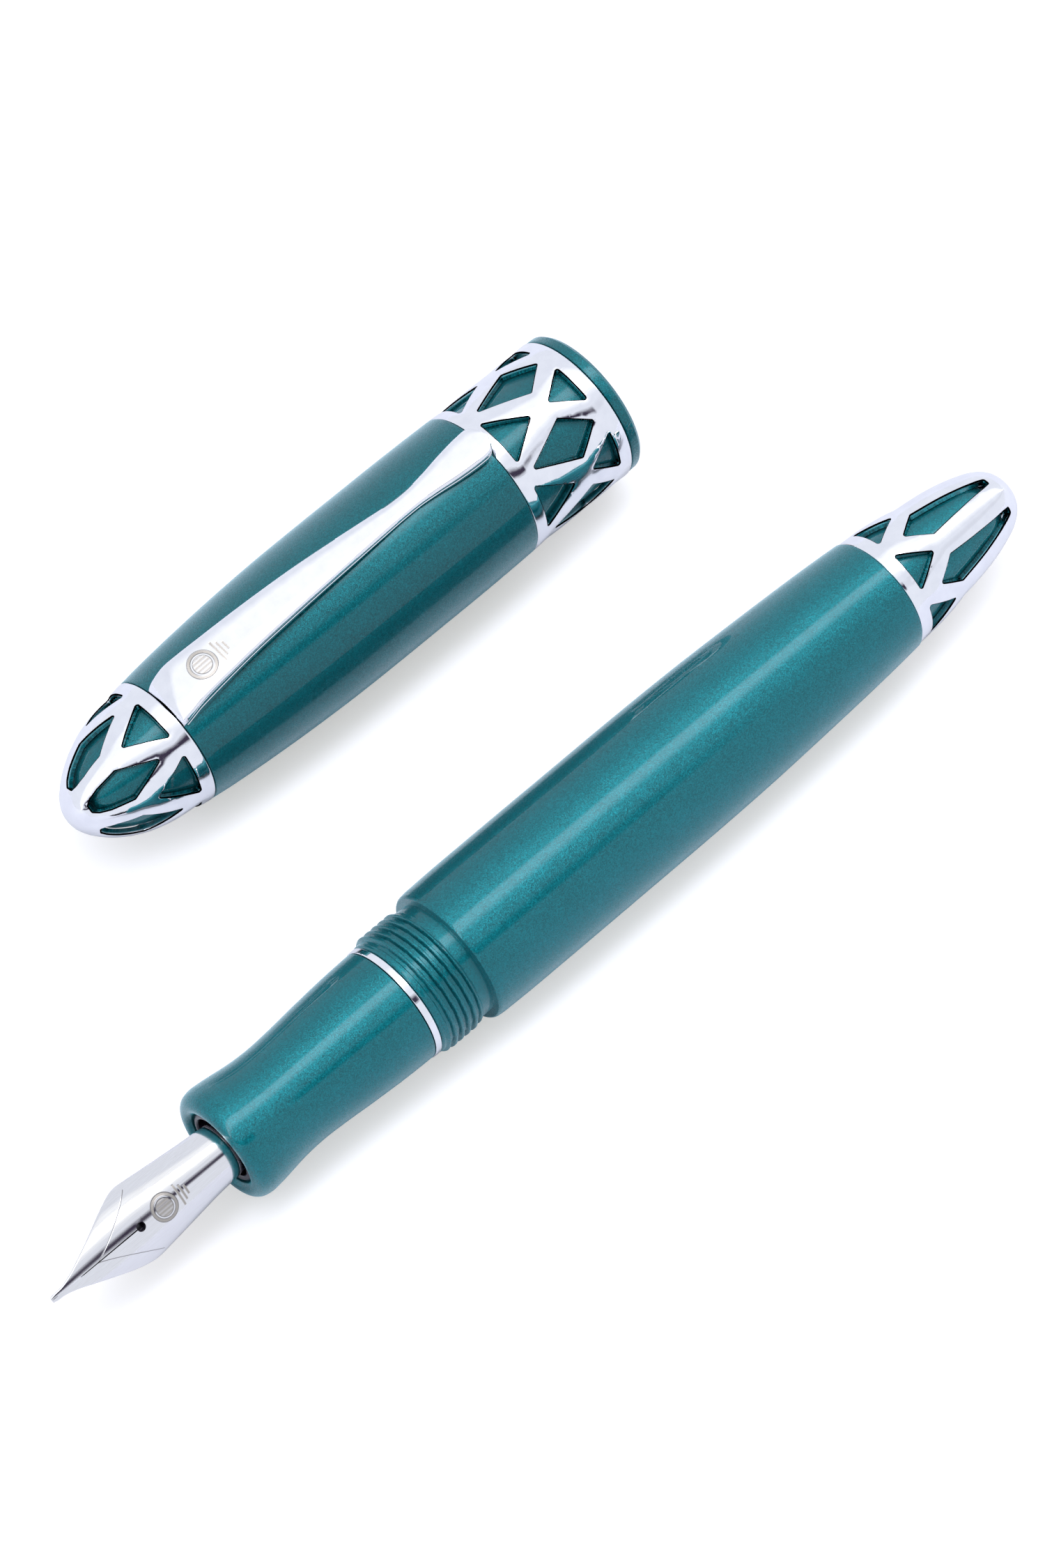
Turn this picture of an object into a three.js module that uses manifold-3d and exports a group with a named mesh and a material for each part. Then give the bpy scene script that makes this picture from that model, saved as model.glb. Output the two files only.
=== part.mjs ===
// A large fountain pen lying on a table with its cap taken off beside it.
// Millimetres, +Z up. The pen's axis runs along X, with the nib's point at -X.
// Lengths along both axes are measured from the nib's point.
import * as THREE from "three";
import { mergeVertices } from "three/addons/utils/BufferGeometryUtils.js";
import Module from "manifold-3d";

const wasm = await Module();
wasm.setup();

// Overall sizes
const PEN_LENGTH = 145.93;
const PEN_RADIUS = 8.6;
const CAP_RADIUS = 9.6;
const AXIS_SPACING = 40.77;
const PEN_Y = (PEN_RADIUS - CAP_RADIUS - AXIS_SPACING) / 2;
const CAP_Y = PEN_Y + AXIS_SPACING;
const MID_X = PEN_LENGTH / 2;
const NIB_ROLL_DEG = 36;
const CAP_ROLL_DEG = 2.5;

// Facets and clearances
const OUTER_FACETS = 36;
const INNER_FACETS = 24;
const FIT = 0.1;
const OVERLAY_THICKNESS = 0.7;
const OVERLAY_STANDOFF = 1.0;
const WINDOWS_AROUND = 6;
const WINDOW_STEP_DEG = 360 / WINDOWS_AROUND;
const CUT_RADIUS = 11;

// Grip section, ring and screw thread of the barrel
const MOUTH_X = 25.6;
const MOUTH_RADIUS = 4.76;
const SECTION_END_X = 50.4;
const RING_WIDTH = 0.85;
const NECK_X = 51.45;
const NECK_RADIUS = 7.35;
const THREAD_CREST_RADIUS = 7.8;
const THREAD_PITCH = 0.98;
const THREAD_TURNS = 5;
const BARREL_STEP_X = 58.9;
const TAIL_X = 125.25;

// Cap
const CAP_TIP_X = 40.1;
const DOME_END_X = 54.64;
const LIP_BAND_X = 102.6;
const LIP_BAND_END_X = 117.4;
const CAP_END_X = 119.1;
const LIP_BAND_RADIUS = 9.45;
const CAP_BORE_RADIUS = 8.05;
const LIP_PHASE_DEG = 5.5;
const TAIL_PHASE_DEG = -7;

// Filler
const PISTON_X = 80;
const PISTON_LENGTH = 4;

const group = new THREE.Group();

const MATERIALS = {
  lacquer: { color: 0x1f6f70, roughness: 0.25, metalness: 0.5 },
  chrome: { color: 0xe6e8ee, roughness: 0.08, metalness: 1.0 },
  steel: { color: 0xc9ccd2, roughness: 0.2, metalness: 1.0 },
  brass: { color: 0xb8944a, roughness: 0.35, metalness: 1.0 },
  black: { color: 0x16141a, roughness: 0.3, metalness: 0.0 },
  clear: { color: 0xcfd6da, roughness: 0.1, metalness: 0.0 },
};

function addMesh(name, geometry, material) {
  const look = new THREE.MeshStandardMaterial(MATERIALS[material]);
  const mesh = new THREE.Mesh(geometry, look);
  mesh.name = name;
  group.add(mesh);
}

// Keeps only positions and turns the faces outward.
function tidy(geometry) {
  const bare = new THREE.BufferGeometry();
  bare.setAttribute("position", geometry.getAttribute("position"));
  if (geometry.index) {
    bare.setIndex(geometry.index);
  }
  const merged = mergeVertices(bare, 1e-4);
  const p = merged.getAttribute("position");
  const old = merged.index.array;
  const kept = [];
  let volume = 0;
  const a = new THREE.Vector3();
  const b = new THREE.Vector3();
  const c = new THREE.Vector3();
  for (let i = 0; i < old.length; i += 3) {
    const [u, v, w] = [old[i], old[i + 1], old[i + 2]];
    if (u === v || v === w || w === u) {
      continue;
    }
    kept.push(u, v, w);
    a.fromBufferAttribute(p, u);
    b.fromBufferAttribute(p, v);
    c.fromBufferAttribute(p, w);
    volume += a.dot(b.cross(c));
  }
  merged.setIndex(volume < 0 ? kept.reverse() : kept);
  return merged;
}

function toSolid(geometry) {
  const clean = tidy(geometry);
  return new wasm.Manifold(
    new wasm.Mesh({
      numProp: 3,
      vertProperties: new Float32Array(clean.getAttribute("position").array),
      triVerts: new Uint32Array(clean.index.array),
    }),
  );
}

function toGeometry(solid) {
  const mesh = solid.getMesh();
  const positions = new Float32Array(mesh.numVert * 3);
  for (let i = 0; i < mesh.numVert; i += 1) {
    const from = i * mesh.numProp;
    positions.set(mesh.vertProperties.subarray(from, from + 3), i * 3);
  }
  const geometry = new THREE.BufferGeometry();
  geometry.setAttribute("position", new THREE.BufferAttribute(positions, 3));
  geometry.setIndex(new THREE.BufferAttribute(mesh.triVerts, 1));
  return geometry;
}

function subtract(geometry, cutters) {
  let solid = toSolid(geometry);
  for (const cutter of cutters) {
    solid = solid.subtract(toSolid(cutter));
  }
  return toGeometry(solid);
}

function unite(first, second) {
  return toGeometry(toSolid(first).add(toSolid(second)));
}

// Turns a list of [x, radius] points round the X axis. A profile that doesn't
// start and end on the axis is closed on itself.
function turned(profile, facets) {
  const points = profile.map(([x, r]) => new THREE.Vector2(r, x));
  const onAxis = profile[0][1] === 0 && profile[profile.length - 1][1] === 0;
  if (!onAxis) {
    points.push(points[0].clone());
  }
  const lathe = new THREE.LatheGeometry(points, facets);
  lathe.rotateZ(-Math.PI / 2);
  lathe.rotateX(Math.PI / 2);
  return tidy(lathe);
}

function tube(x0, x1, outer, inner, facets) {
  return turned([[x0, outer], [x1, outer], [x1, inner], [x0, inner]], facets);
}

function box(x0, x1, y0, y1, z0, z1) {
  const shape = new THREE.BoxGeometry(x1 - x0, y1 - y0, z1 - z0);
  shape.translate((x0 + x1) / 2, (y0 + y1) / 2, (z0 + z1) / 2);
  return shape;
}

// Joins rings of points, each with the same count, into one closed skin. The strip that
// closes each end joins the first point to the last, the second to the last but one, and
// so on, so it also closes a thin folded ring.
function skinned(rings) {
  const count = rings[0].length;
  const positions = [];
  const index = [];
  for (const ring of rings) {
    for (const point of ring) {
      positions.push(...point);
    }
  }
  for (let i = 0; i + 1 < rings.length; i += 1) {
    for (let j = 0; j < count; j += 1) {
      const a = i * count + j;
      const b = i * count + ((j + 1) % count);
      index.push(a, b, b + count, a, b + count, a + count);
    }
  }
  for (const end of [0, rings.length - 1]) {
    for (let j = 0; j + 1 < count / 2; j += 1) {
      const [a, b, c, d] = [j, j + 1, count - 2 - j, count - 1 - j].map((k) => end * count + k);
      index.push(...(end ? [a, c, d] : [a, d, c]));
      if (c !== b) {
        index.push(...(end ? [a, b, c] : [a, c, b]));
      }
    }
  }
  const geometry = new THREE.BufferGeometry();
  geometry.setAttribute("position", new THREE.Float32BufferAttribute(positions, 3));
  geometry.setIndex(index);
  return tidy(geometry);
}

// A point at x, a radius, and an angle from straight up towards the front.
function around(x, radius, degrees) {
  const angle = THREE.MathUtils.degToRad(degrees);
  return [x, -radius * Math.sin(angle), radius * Math.cos(angle)];
}

// A cutter for one window: an outline of [x, degrees] drawn out along the radius.
function windowCutter(outline, middle, inner) {
  const rings = [inner, CUT_RADIUS].map((radius) =>
    outline.map(([x, degrees]) => around(x, radius, middle + degrees)),
  );
  return skinned(rings);
}

function windowsAround(outline, phase, inner) {
  const cutters = [];
  for (let i = 0; i < WINDOWS_AROUND; i += 1) {
    const middle = phase + WINDOW_STEP_DEG * i;
    cutters.push(windowCutter(outline, middle, inner));
  }
  return cutters;
}

function onPen(geometry) {
  geometry.translate(-MID_X, PEN_Y, PEN_RADIUS);
  return geometry;
}

function onNib(geometry) {
  geometry.rotateX(THREE.MathUtils.degToRad(NIB_ROLL_DEG));
  return onPen(geometry);
}

function onCap(geometry) {
  geometry.rotateX(THREE.MathUtils.degToRad(CAP_ROLL_DEG));
  geometry.translate(-MID_X, CAP_Y, CAP_RADIUS);
  return geometry;
}

// Moves a profile in towards the axis, for the pieces that lie under an overlay.
function inset(profile, depth) {
  return profile.map(([x, r]) => [x, Math.max(r - depth, 0)]);
}

// ---- Barrel ----

const BARREL_OUTLINE = [
  [BARREL_STEP_X, NECK_RADIUS],
  [BARREL_STEP_X, 8.2],
  [59.4, 8.43],
  [62.5, 8.54],
  [70, PEN_RADIUS - 0.01],
  [92.5, PEN_RADIUS],
  [101, 8.47],
  [108, 8.23],
  [114, 7.98],
  [120, 7.68],
  [TAIL_X - FIT, 7.32],
];

// One raised ridge that winds round the neck as a helix.
function threadRidge() {
  const perTurn = 18;
  const steps = THREAD_TURNS * perTurn;
  const rings = [];
  for (let i = 0; i <= steps; i += 1) {
    const degrees = (360 * i) / perTurn;
    const x = NECK_X + 0.75 + (THREAD_PITCH * i) / perTurn;
    const ease = Math.min(1, i / 6, (steps - i) / 6);
    const crest = NECK_RADIUS + 0.05 + (THREAD_CREST_RADIUS - NECK_RADIUS - 0.05) * ease;
    rings.push([
      around(x - 0.4, NECK_RADIUS - 0.2, degrees),
      around(x - 0.12, crest, degrees),
      around(x + 0.12, crest, degrees),
      around(x + 0.4, NECK_RADIUS - 0.2, degrees),
    ]);
  }
  return skinned(rings);
}

function barrelShell() {
  const inside = [
    [TAIL_X - FIT, 5.6],
    [119, 5.6],
    [117, 6.5],
    [63, 6.9],
    [62.5, 6.35],
    [NECK_X, 6.35],
    [NECK_X, NECK_RADIUS - 0.15],
    [NECK_X + 0.2, NECK_RADIUS],
  ];
  const tubeBody = turned([...BARREL_OUTLINE, ...inside], OUTER_FACETS);
  return onPen(unite(tubeBody, threadRidge()));
}

function barrelSleeve() {
  return onPen(tube(52.2, 62.2, 6.25, 5.45, INNER_FACETS));
}

const TAIL_OUTLINE = [
  [TAIL_X, 7.2],
  [128.5, 7.04],
  [132.8, 6.6],
  [137.5, 5.9],
  [141, 5.0],
  [143.5, 4.1],
  [145.1, 2.85],
  [145.75, 1.5],
  [PEN_LENGTH, 0],
];

function tailCore() {
  const skin = inset(TAIL_OUTLINE.slice(1, 5), OVERLAY_STANDOFF);
  const profile = [
    [119.4, 1.5],
    [119.4, 5.45],
    [TAIL_X + 0.2, 5.45],
    [TAIL_X + 0.2, 6.15],
    ...skin,
    [142.4, 2.9],
    [142.4, 1.5],
  ];
  return onPen(turned(profile, OUTER_FACETS));
}

// Windows of the tail: a triangle beside the ring, then a long leaf.
const TAIL_TRIANGLE = [[127.2, -20.5], [131.2, 0], [127.2, 20.5]];
const TAIL_LEAF = [
  [129.9, 0],
  [132.8, 16.5],
  [137.5, 12.7],
  [142, 7],
  [143, 3],
  [143, -3],
  [142, -7],
  [137.5, -12.7],
  [132.8, -16.5],
];

function tailFiligree() {
  const under = [
    [144.3, 0],
    [144.3, 1.45],
    [142.9, 1.45],
    [142.9, 3.5],
    [140.7, 4.32],
    [137.2, 5.22],
    [132.6, 5.92],
    [128.4, 6.34],
    [TAIL_X, 6.5],
  ];
  const shell = turned([...under, ...TAIL_OUTLINE], OUTER_FACETS);
  const cutters = [
    ...windowsAround(TAIL_TRIANGLE, TAIL_PHASE_DEG + WINDOW_STEP_DEG / 2, 4.6),
    ...windowsAround(TAIL_LEAF, TAIL_PHASE_DEG, 2.9),
  ];
  return onPen(subtract(shell, cutters));
}

function tailScrew() {
  const profile = [
    [116.4, 0],
    [116.4, 2.6],
    [118.9, 2.6],
    [119.2, 1.35],
    [143.9, 1.35],
    [143.9, 0],
  ];
  return onPen(turned(profile, INNER_FACETS));
}

// ---- Grip section ----

function gripSection() {
  const profile = [
    [MOUTH_X, MOUTH_RADIUS],
    [25.2, 5.15],
    [25.1, 5.7],
    [25.35, 6.35],
    [25.9, 6.82],
    [26.7, 7.03],
    [28.4, 6.99],
    [30, 6.8],
    [32, 6.53],
    [34.9, 6.4],
    [38, 6.54],
    [42, 6.83],
    [46.5, 7.1],
    [SECTION_END_X, 7.2],
    [SECTION_END_X, 5.35],
    [44, 5.35],
    [43.6, MOUTH_RADIUS],
  ];
  return onPen(turned(profile, OUTER_FACETS));
}

function sectionRing() {
  const start = SECTION_END_X + FIT;
  const end = start + RING_WIDTH;
  const profile = [
    [start, 5.35],
    [start, 7.22],
    [start + 0.15, 7.3],
    [end - 0.15, 7.3],
    [end, 7.22],
    [end, 5.35],
  ];
  return onPen(turned(profile, OUTER_FACETS));
}

function sectionShank() {
  return onPen(tube(44.2, 61.5, 5.2, 4.1, INNER_FACETS));
}

// The plastic holder of the nib and feed, with the nipple that pierces the filler.
function nibHousing() {
  const profile = [
    [25.75, 3.85],
    [25.6, 4.2],
    [25.75, 4.6],
    [43.4, 4.6],
    [43.9, 3.95],
    [46, 3.95],
    [46, 1.65],
    [51, 1.65],
    [51.6, 1.3],
    [51.6, 0.8],
    [38.4, 0.8],
    [38.4, 3.75],
  ];
  return onPen(turned(profile, INNER_FACETS));
}

// ---- Nib and feed, drawn with the nib's face up, then rolled ----

// Stations of [x, half width, radius of the bend, height of the ridge].
const NIB_STATIONS = [
  [0, 0.4, 3.2, 3.0],
  [1.5, 0.5, 3.4, 3.08],
  [3.1, 0.96, 4, 3.16],
  [4.7, 1.63, 4.6, 3.22],
  [6.3, 2.29, 5, 3.27],
  [7.9, 2.98, 5.2, 3.31],
  [9.6, 3.67, 5.3, 3.34],
  [11.4, 4.28, 5.3, 3.37],
  [12.4, 4.52, 5.25, 3.38],
  [13.1, 4.58, 5.15, 3.39],
  [14.7, 4.45, 4.85, 3.4],
  [16.5, 4.25, 4.55, 3.42],
  [19.3, 3.94, 4.1, 3.43],
  [22.4, 3.6, 3.65, 3.44],
  [25, 3.42, 3.45, 3.45],
  [35, 3.42, 3.45, 3.45],
];
const NIB_THICKNESS = 0.32;
const SLIT_WIDTH = 0.1;
const BREATHER_X = 12.45;
const BREATHER_RADIUS = 0.56;

// The blank's points across, with a narrow strip down the middle for the slit.
function nibBlank() {
  const shares = [1, 0.8, 0.58, 0.34];
  const rings = NIB_STATIONS.map(([x, half, bend, ridge]) => {
    const reach = Math.asin(Math.min(half / bend, 0.995));
    const right = shares.map((share) => reach * share);
    right.push(SLIT_WIDTH / bend);
    const angles = [...right.map((angle) => -angle), ...right.reverse()];
    const arc = (radius) =>
      angles.map((angle) => [
        x,
        radius * Math.sin(angle),
        ridge - bend + radius * Math.cos(angle),
      ]);
    return [...arc(bend), ...arc(bend - NIB_THICKNESS).reverse()];
  });
  return skinned(rings);
}

function nib() {
  const hole = new THREE.CylinderGeometry(BREATHER_RADIUS, BREATHER_RADIUS, 3, 12);
  hole.rotateX(Math.PI / 2);
  hole.translate(BREATHER_X, 0, 3.4);
  const slit = box(-1, BREATHER_X, -SLIT_WIDTH / 2, SLIT_WIDTH / 2, 1.9, 4.4);
  return onNib(subtract(nibBlank(), [hole, slit]));
}

function nibTipping() {
  const ball = new THREE.SphereGeometry(0.34, 10, 6);
  ball.scale(1.3, 1, 0.7);
  ball.translate(0.5, 0, 2.44);
  return onNib(tidy(ball));
}

function feedBody() {
  // Stations of [x, half width of the top, radius below, height of the top].
  const stations = [
    [4.6, 0.7, 0.75, 2.72],
    [7, 1.15, 1.35, 2.78],
    [10, 1.75, 2.1, 2.84],
    [14, 2.1, 2.55, 2.9],
    [20, 2.2, 2.8, 2.92],
    [26, 2.2, 2.9, 2.92],
    [37.5, 2.2, 2.9, 2.92],
  ];
  const rings = stations.map(([x, half, radius, top]) => {
    const centre = Math.min(0, top - 0.2 - radius) + Math.max(0, top - 0.9 - radius);
    const ring = [
      [x, -half * 0.5, top - 0.06],
      [x, half * 0.5, top - 0.06],
    ];
    for (let j = 0; j <= 8; j += 1) {
      const angle = THREE.MathUtils.degToRad(42 - (264 * j) / 8);
      ring.push([x, radius * Math.cos(angle), centre + radius * Math.sin(angle)]);
    }
    return ring;
  });
  return skinned(rings);
}

const FIN_COUNT = 8;
const FIN_START_X = 14;
const FIN_PITCH = 1.2;
const FIN_GAP = 0.55;
const FIN_ROOT_RADIUS = 1.75;

function feed() {
  const cutters = [];
  for (let i = 0; i < FIN_COUNT; i += 1) {
    const x = FIN_START_X + FIN_PITCH * i;
    const groove = tube(x, x + FIN_GAP, 5, FIN_ROOT_RADIUS, INNER_FACETS);
    cutters.push(subtract(groove, [box(x - 1, x + 2, -6, 6, 0.9, 6)]));
  }
  cutters.push(box(3, 38, -0.3, 0.3, 2.1, 4));
  return onNib(subtract(feedBody(), cutters));
}

// ---- Filler, a piston that a knob screws along a clear tube ----

function fillerMouth() {
  const profile = [
    [46.6, 1.95],
    [46.6, 3.3],
    [52.8, 3.3],
    [53.1, 3.4],
    [54.6, 3.4],
    [54.6, 1.2],
    [53, 1.2],
    [52.6, 1.95],
  ];
  return onPen(turned(profile, INNER_FACETS));
}

function fillerTube() {
  return onPen(tube(54.7, 86, 3.45, 2.85, INNER_FACETS));
}

function fillerCollar() {
  const profile = [
    [74, 3.85],
    [90.2, 3.85],
    [90.2, 2.4],
    [88.6, 2.4],
    [88.6, 3.55],
    [74, 3.55],
  ];
  return onPen(turned(profile, INNER_FACETS));
}

function fillerPiston() {
  const start = PISTON_X;
  const profile = [
    [start, 0],
    [start + 0.6, 2.2],
    [start + 1, 2.7],
    [start + 1.8, 2.7],
    [start + 2, 2.3],
    [start + 3, 2.3],
    [start + 3.2, 2.7],
    [start + PISTON_LENGTH, 2.7],
    [start + PISTON_LENGTH, 0],
  ];
  return onPen(turned(profile, INNER_FACETS));
}

function fillerRod() {
  const start = PISTON_X + PISTON_LENGTH + FIT;
  return onPen(turned([[start, 0], [start, 1], [106, 1], [106, 0]], 16));
}

function fillerKnob() {
  const profile = [
    [108, 0],
    [108, 2.8],
    [107.6, 3.2],
    [90.5, 3.2],
    [90.5, 2.1],
    [87.6, 2.1],
    [87.6, 2.6],
    [86.4, 2.6],
    [86.4, 1.35],
    [106.8, 1.35],
    [106.8, 0],
  ];
  return onPen(turned(profile, INNER_FACETS));
}

// ---- Cap ----

const DOME_OUTLINE = [
  [CAP_TIP_X, 0],
  [40.35, 1.5],
  [41.1, 2.75],
  [42.3, 4.05],
  [44, 5.3],
  [46.2, 6.42],
  [48.6, 7.2],
  [51.2, 7.72],
  [DOME_END_X, 8.15],
];

// Windows of the dome: a leaf towards the nose and a triangle beside the ring.
const DOME_TRIANGLE = [[52.8, -20.5], [48.1, 0], [52.8, 20.5]];
const DOME_LEAF = [
  [50.5, 0],
  [45.9, 18],
  [43.4, 16],
  [42.3, 11],
  [41.8, 3],
  [41.8, -3],
  [42.3, -11],
  [43.4, -16],
  [45.9, -18],
];

function domeFiligree() {
  const under = [
    [DOME_END_X, 7.4],
    [51.3, 7.0],
    [48.8, 6.5],
    [46.5, 5.75],
    [44.4, 4.7],
    [42.9, 3.5],
    [42.4, 2.6],
    [42.4, 1.45],
    [41.4, 1.45],
    [41.4, 0],
  ];
  const shell = turned([...DOME_OUTLINE, ...under], OUTER_FACETS);
  const cutters = [
    ...windowsAround(DOME_TRIANGLE, 0, 5.2),
    ...windowsAround(DOME_LEAF, WINDOW_STEP_DEG / 2, 2.75),
  ];
  return onCap(subtract(shell, cutters));
}

function domeCore() {
  const skin = [
    [42.7, 1.5],
    [42.7, 2.5],
    [43.3, 3.45],
    [44.75, 4.55],
    [46.7, 5.5],
    [48.9, 6.22],
    [51.4, 6.72],
    [DOME_END_X + 0.05, 7.15],
    [DOME_END_X + 0.05, 1.5],
  ];
  return onCap(turned(skin, OUTER_FACETS));
}

function capBody() {
  const profile = [
    [DOME_END_X + FIT, 1.6],
    [DOME_END_X + FIT, 8.14],
    [56.5, 8.36],
    [60, 8.69],
    [64, 8.99],
    [69, 9.28],
    [75, 9.51],
    [82, CAP_RADIUS - 0.01],
    [95, CAP_RADIUS],
    [LIP_BAND_X - FIT, 9.47],
    [LIP_BAND_X - FIT, 8.5],
    [LIP_BAND_END_X + FIT, 8.5],
    [LIP_BAND_END_X + FIT, CAP_BORE_RADIUS],
    [60.5, CAP_BORE_RADIUS],
    [58.6, 7.3],
    [58.4, 1.6],
  ];
  const pocket = box(55.1, 56.9, -2.75, 2.75, 6.0, 10);
  return onCap(subtract(turned(profile, OUTER_FACETS), [pocket]));
}

// Windows of the lip band: triangles on both rings and diamonds between them.
const LIP_FRONT_TRIANGLE = [[104.25, -19.5], [109.05, 0], [104.25, 19.5]];
const LIP_REAR_TRIANGLE = [[115.6, -16], [111.9, 0], [115.6, 16]];
const LIP_DIAMOND = [[105.3, 0], [111.3, 16.5], [114.7, 0], [111.3, -16.5]];

function lipFiligree() {
  const inner = LIP_BAND_RADIUS - OVERLAY_THICKNESS;
  const profile = [
    [LIP_BAND_X, inner],
    [LIP_BAND_X, LIP_BAND_RADIUS - 0.1],
    [LIP_BAND_X + 0.15, LIP_BAND_RADIUS],
    [LIP_BAND_END_X - 0.25, LIP_BAND_RADIUS],
    [LIP_BAND_END_X, LIP_BAND_RADIUS - 0.12],
    [LIP_BAND_END_X, inner],
  ];
  const cutters = [
    ...windowsAround(LIP_FRONT_TRIANGLE, LIP_PHASE_DEG, CAP_BORE_RADIUS),
    ...windowsAround(LIP_REAR_TRIANGLE, LIP_PHASE_DEG, CAP_BORE_RADIUS),
    ...windowsAround(LIP_DIAMOND, LIP_PHASE_DEG + WINDOW_STEP_DEG / 2, CAP_BORE_RADIUS),
  ];
  return onCap(subtract(turned(profile, OUTER_FACETS), cutters));
}

function lipRing() {
  const start = LIP_BAND_END_X + 2 * FIT;
  const profile = [
    [start, 8.2],
    [start, 9.36],
    [CAP_END_X - 0.45, 9.33],
    [CAP_END_X, 8.95],
    [CAP_END_X, 8.2],
  ];
  return onCap(turned(profile, OUTER_FACETS));
}

function capThreadInsert() {
  return onCap(tube(109, CAP_END_X - 0.15, 7.95, 7.45, OUTER_FACETS));
}

function capLiner() {
  const profile = [
    [60.8, 0],
    [60.8, 7.2],
    [62, 7.85],
    [90, 7.85],
    [90, 7.35],
    [62.2, 7.35],
    [62.2, 0],
  ];
  return onCap(turned(profile, INNER_FACETS));
}

function capScrew() {
  const profile = [
    [41.7, 0],
    [41.7, 1.3],
    [58.7, 1.3],
    [58.7, 3],
    [60.5, 3],
    [60.5, 0],
  ];
  return onCap(turned(profile, INNER_FACETS));
}

// Stations of [x, half width, top, underside at the middle, underside at the edge].
const CLIP_STATIONS = [
  [54.8, 2.95, 9.15, 8.36, 7.85],
  [55.2, 3.18, 9.4, 8.42, 7.85],
  [57.5, 3.15, 10.55, 8.62, 8.0],
  [59, 3.05, 10.8, 9.1, 8.35],
  [62, 2.88, 11.1, 9.6, 9.2],
  [66, 2.66, 11.45, 10.05, 9.9],
  [71, 2.42, 11.6, 10.25, 10.2],
  [76, 2.16, 11.55, 10.3, 10.28],
  [81, 1.85, 11.25, 10.15, 10.12],
  [86, 1.5, 10.85, 9.9, 9.9],
  [89.5, 1.28, 10.6, 9.72, 9.72],
  [92, 1.27, 10.6, 9.72, 9.72],
  [94.5, 1.5, 10.75, 9.8, 9.8],
  [97.5, 1.9, 11.0, 10, 10],
  [100.5, 2.14, 11.3, 10.3, 10.3],
  [102.2, 2.1, 11.42, 10.45, 10.45],
  [102.95, 1.6, 11.4, 10.6, 10.6],
];

function clipBlade() {
  const bevel = 0.32;
  const rings = CLIP_STATIONS.map(([x, half, top, middle, edge]) => [
    [x, half, edge],
    [x, half, top - bevel],
    [x, half - bevel, top],
    [x, 0, top + 0.05],
    [x, bevel - half, top],
    [x, -half, top - bevel],
    [x, -half, edge],
    [x, 0, middle],
  ]);
  return skinned(rings);
}

// The blade's tang drops into a pocket in the cap's end wall.
function clip() {
  const tang = box(55.4, 56.6, -2.4, 2.4, 6.35, 9.0);
  return onCap(unite(clipBlade(), tang));
}

addMesh("barrel_shell", barrelShell(), "lacquer");
addMesh("barrel_sleeve", barrelSleeve(), "brass");
addMesh("tail_core", tailCore(), "lacquer");
addMesh("tail_filigree", tailFiligree(), "chrome");
addMesh("tail_screw", tailScrew(), "steel");
addMesh("grip_section", gripSection(), "lacquer");
addMesh("section_ring", sectionRing(), "chrome");
addMesh("section_shank", sectionShank(), "brass");
addMesh("nib_housing", nibHousing(), "black");
addMesh("nib", nib(), "steel");
addMesh("nib_tipping", nibTipping(), "steel");
addMesh("feed", feed(), "black");
addMesh("filler_mouth", fillerMouth(), "black");
addMesh("filler_tube", fillerTube(), "clear");
addMesh("filler_collar", fillerCollar(), "chrome");
addMesh("filler_piston", fillerPiston(), "black");
addMesh("filler_rod", fillerRod(), "steel");
addMesh("filler_knob", fillerKnob(), "black");
addMesh("cap_dome_filigree", domeFiligree(), "chrome");
addMesh("cap_dome_core", domeCore(), "lacquer");
addMesh("cap_body", capBody(), "lacquer");
addMesh("cap_lip_filigree", lipFiligree(), "chrome");
addMesh("cap_lip_ring", lipRing(), "lacquer");
addMesh("cap_thread_insert", capThreadInsert(), "brass");
addMesh("cap_liner", capLiner(), "black");
addMesh("cap_screw", capScrew(), "steel");
addMesh("clip", clip(), "chrome");

export default group;
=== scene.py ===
"""A large fountain pen lying on a table with its cap off beside it, finished over its CAD frame."""

import math

import bpy
import numpy as np
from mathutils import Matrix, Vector, geometry


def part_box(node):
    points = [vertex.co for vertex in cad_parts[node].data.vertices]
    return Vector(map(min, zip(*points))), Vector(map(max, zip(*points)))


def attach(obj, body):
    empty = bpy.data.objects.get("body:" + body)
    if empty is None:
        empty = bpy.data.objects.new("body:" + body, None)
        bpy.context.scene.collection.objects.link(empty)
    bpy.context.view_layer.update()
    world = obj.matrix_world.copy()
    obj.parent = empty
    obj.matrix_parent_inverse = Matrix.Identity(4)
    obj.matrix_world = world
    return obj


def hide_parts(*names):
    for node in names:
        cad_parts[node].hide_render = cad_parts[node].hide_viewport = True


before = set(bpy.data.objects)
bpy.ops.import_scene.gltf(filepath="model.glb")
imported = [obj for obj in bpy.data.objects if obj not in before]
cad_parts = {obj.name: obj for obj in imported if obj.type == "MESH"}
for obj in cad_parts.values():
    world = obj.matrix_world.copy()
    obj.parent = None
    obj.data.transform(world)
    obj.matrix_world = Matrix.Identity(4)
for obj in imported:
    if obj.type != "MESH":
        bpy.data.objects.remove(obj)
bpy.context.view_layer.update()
MM = 0.001


# ---- Studio ----
# A white table top under one long soft box, with pale card all round. The camera looks
# down across the pen from the nib's side.

camera_data = bpy.data.cameras.new("studio_camera")
camera_data.lens = 150
camera_data.sensor_width = 36
camera_data.clip_start = 0.01
camera = bpy.data.objects.new("studio_camera", camera_data)
camera.location = (-0.23386, -0.26335, 0.64116)
camera.rotation_euler = (math.radians(28.876), 0, math.radians(-43.631))
bpy.context.scene.collection.objects.link(camera)
bpy.context.scene.camera = camera
bpy.context.scene.view_settings.view_transform = "Standard"


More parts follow.
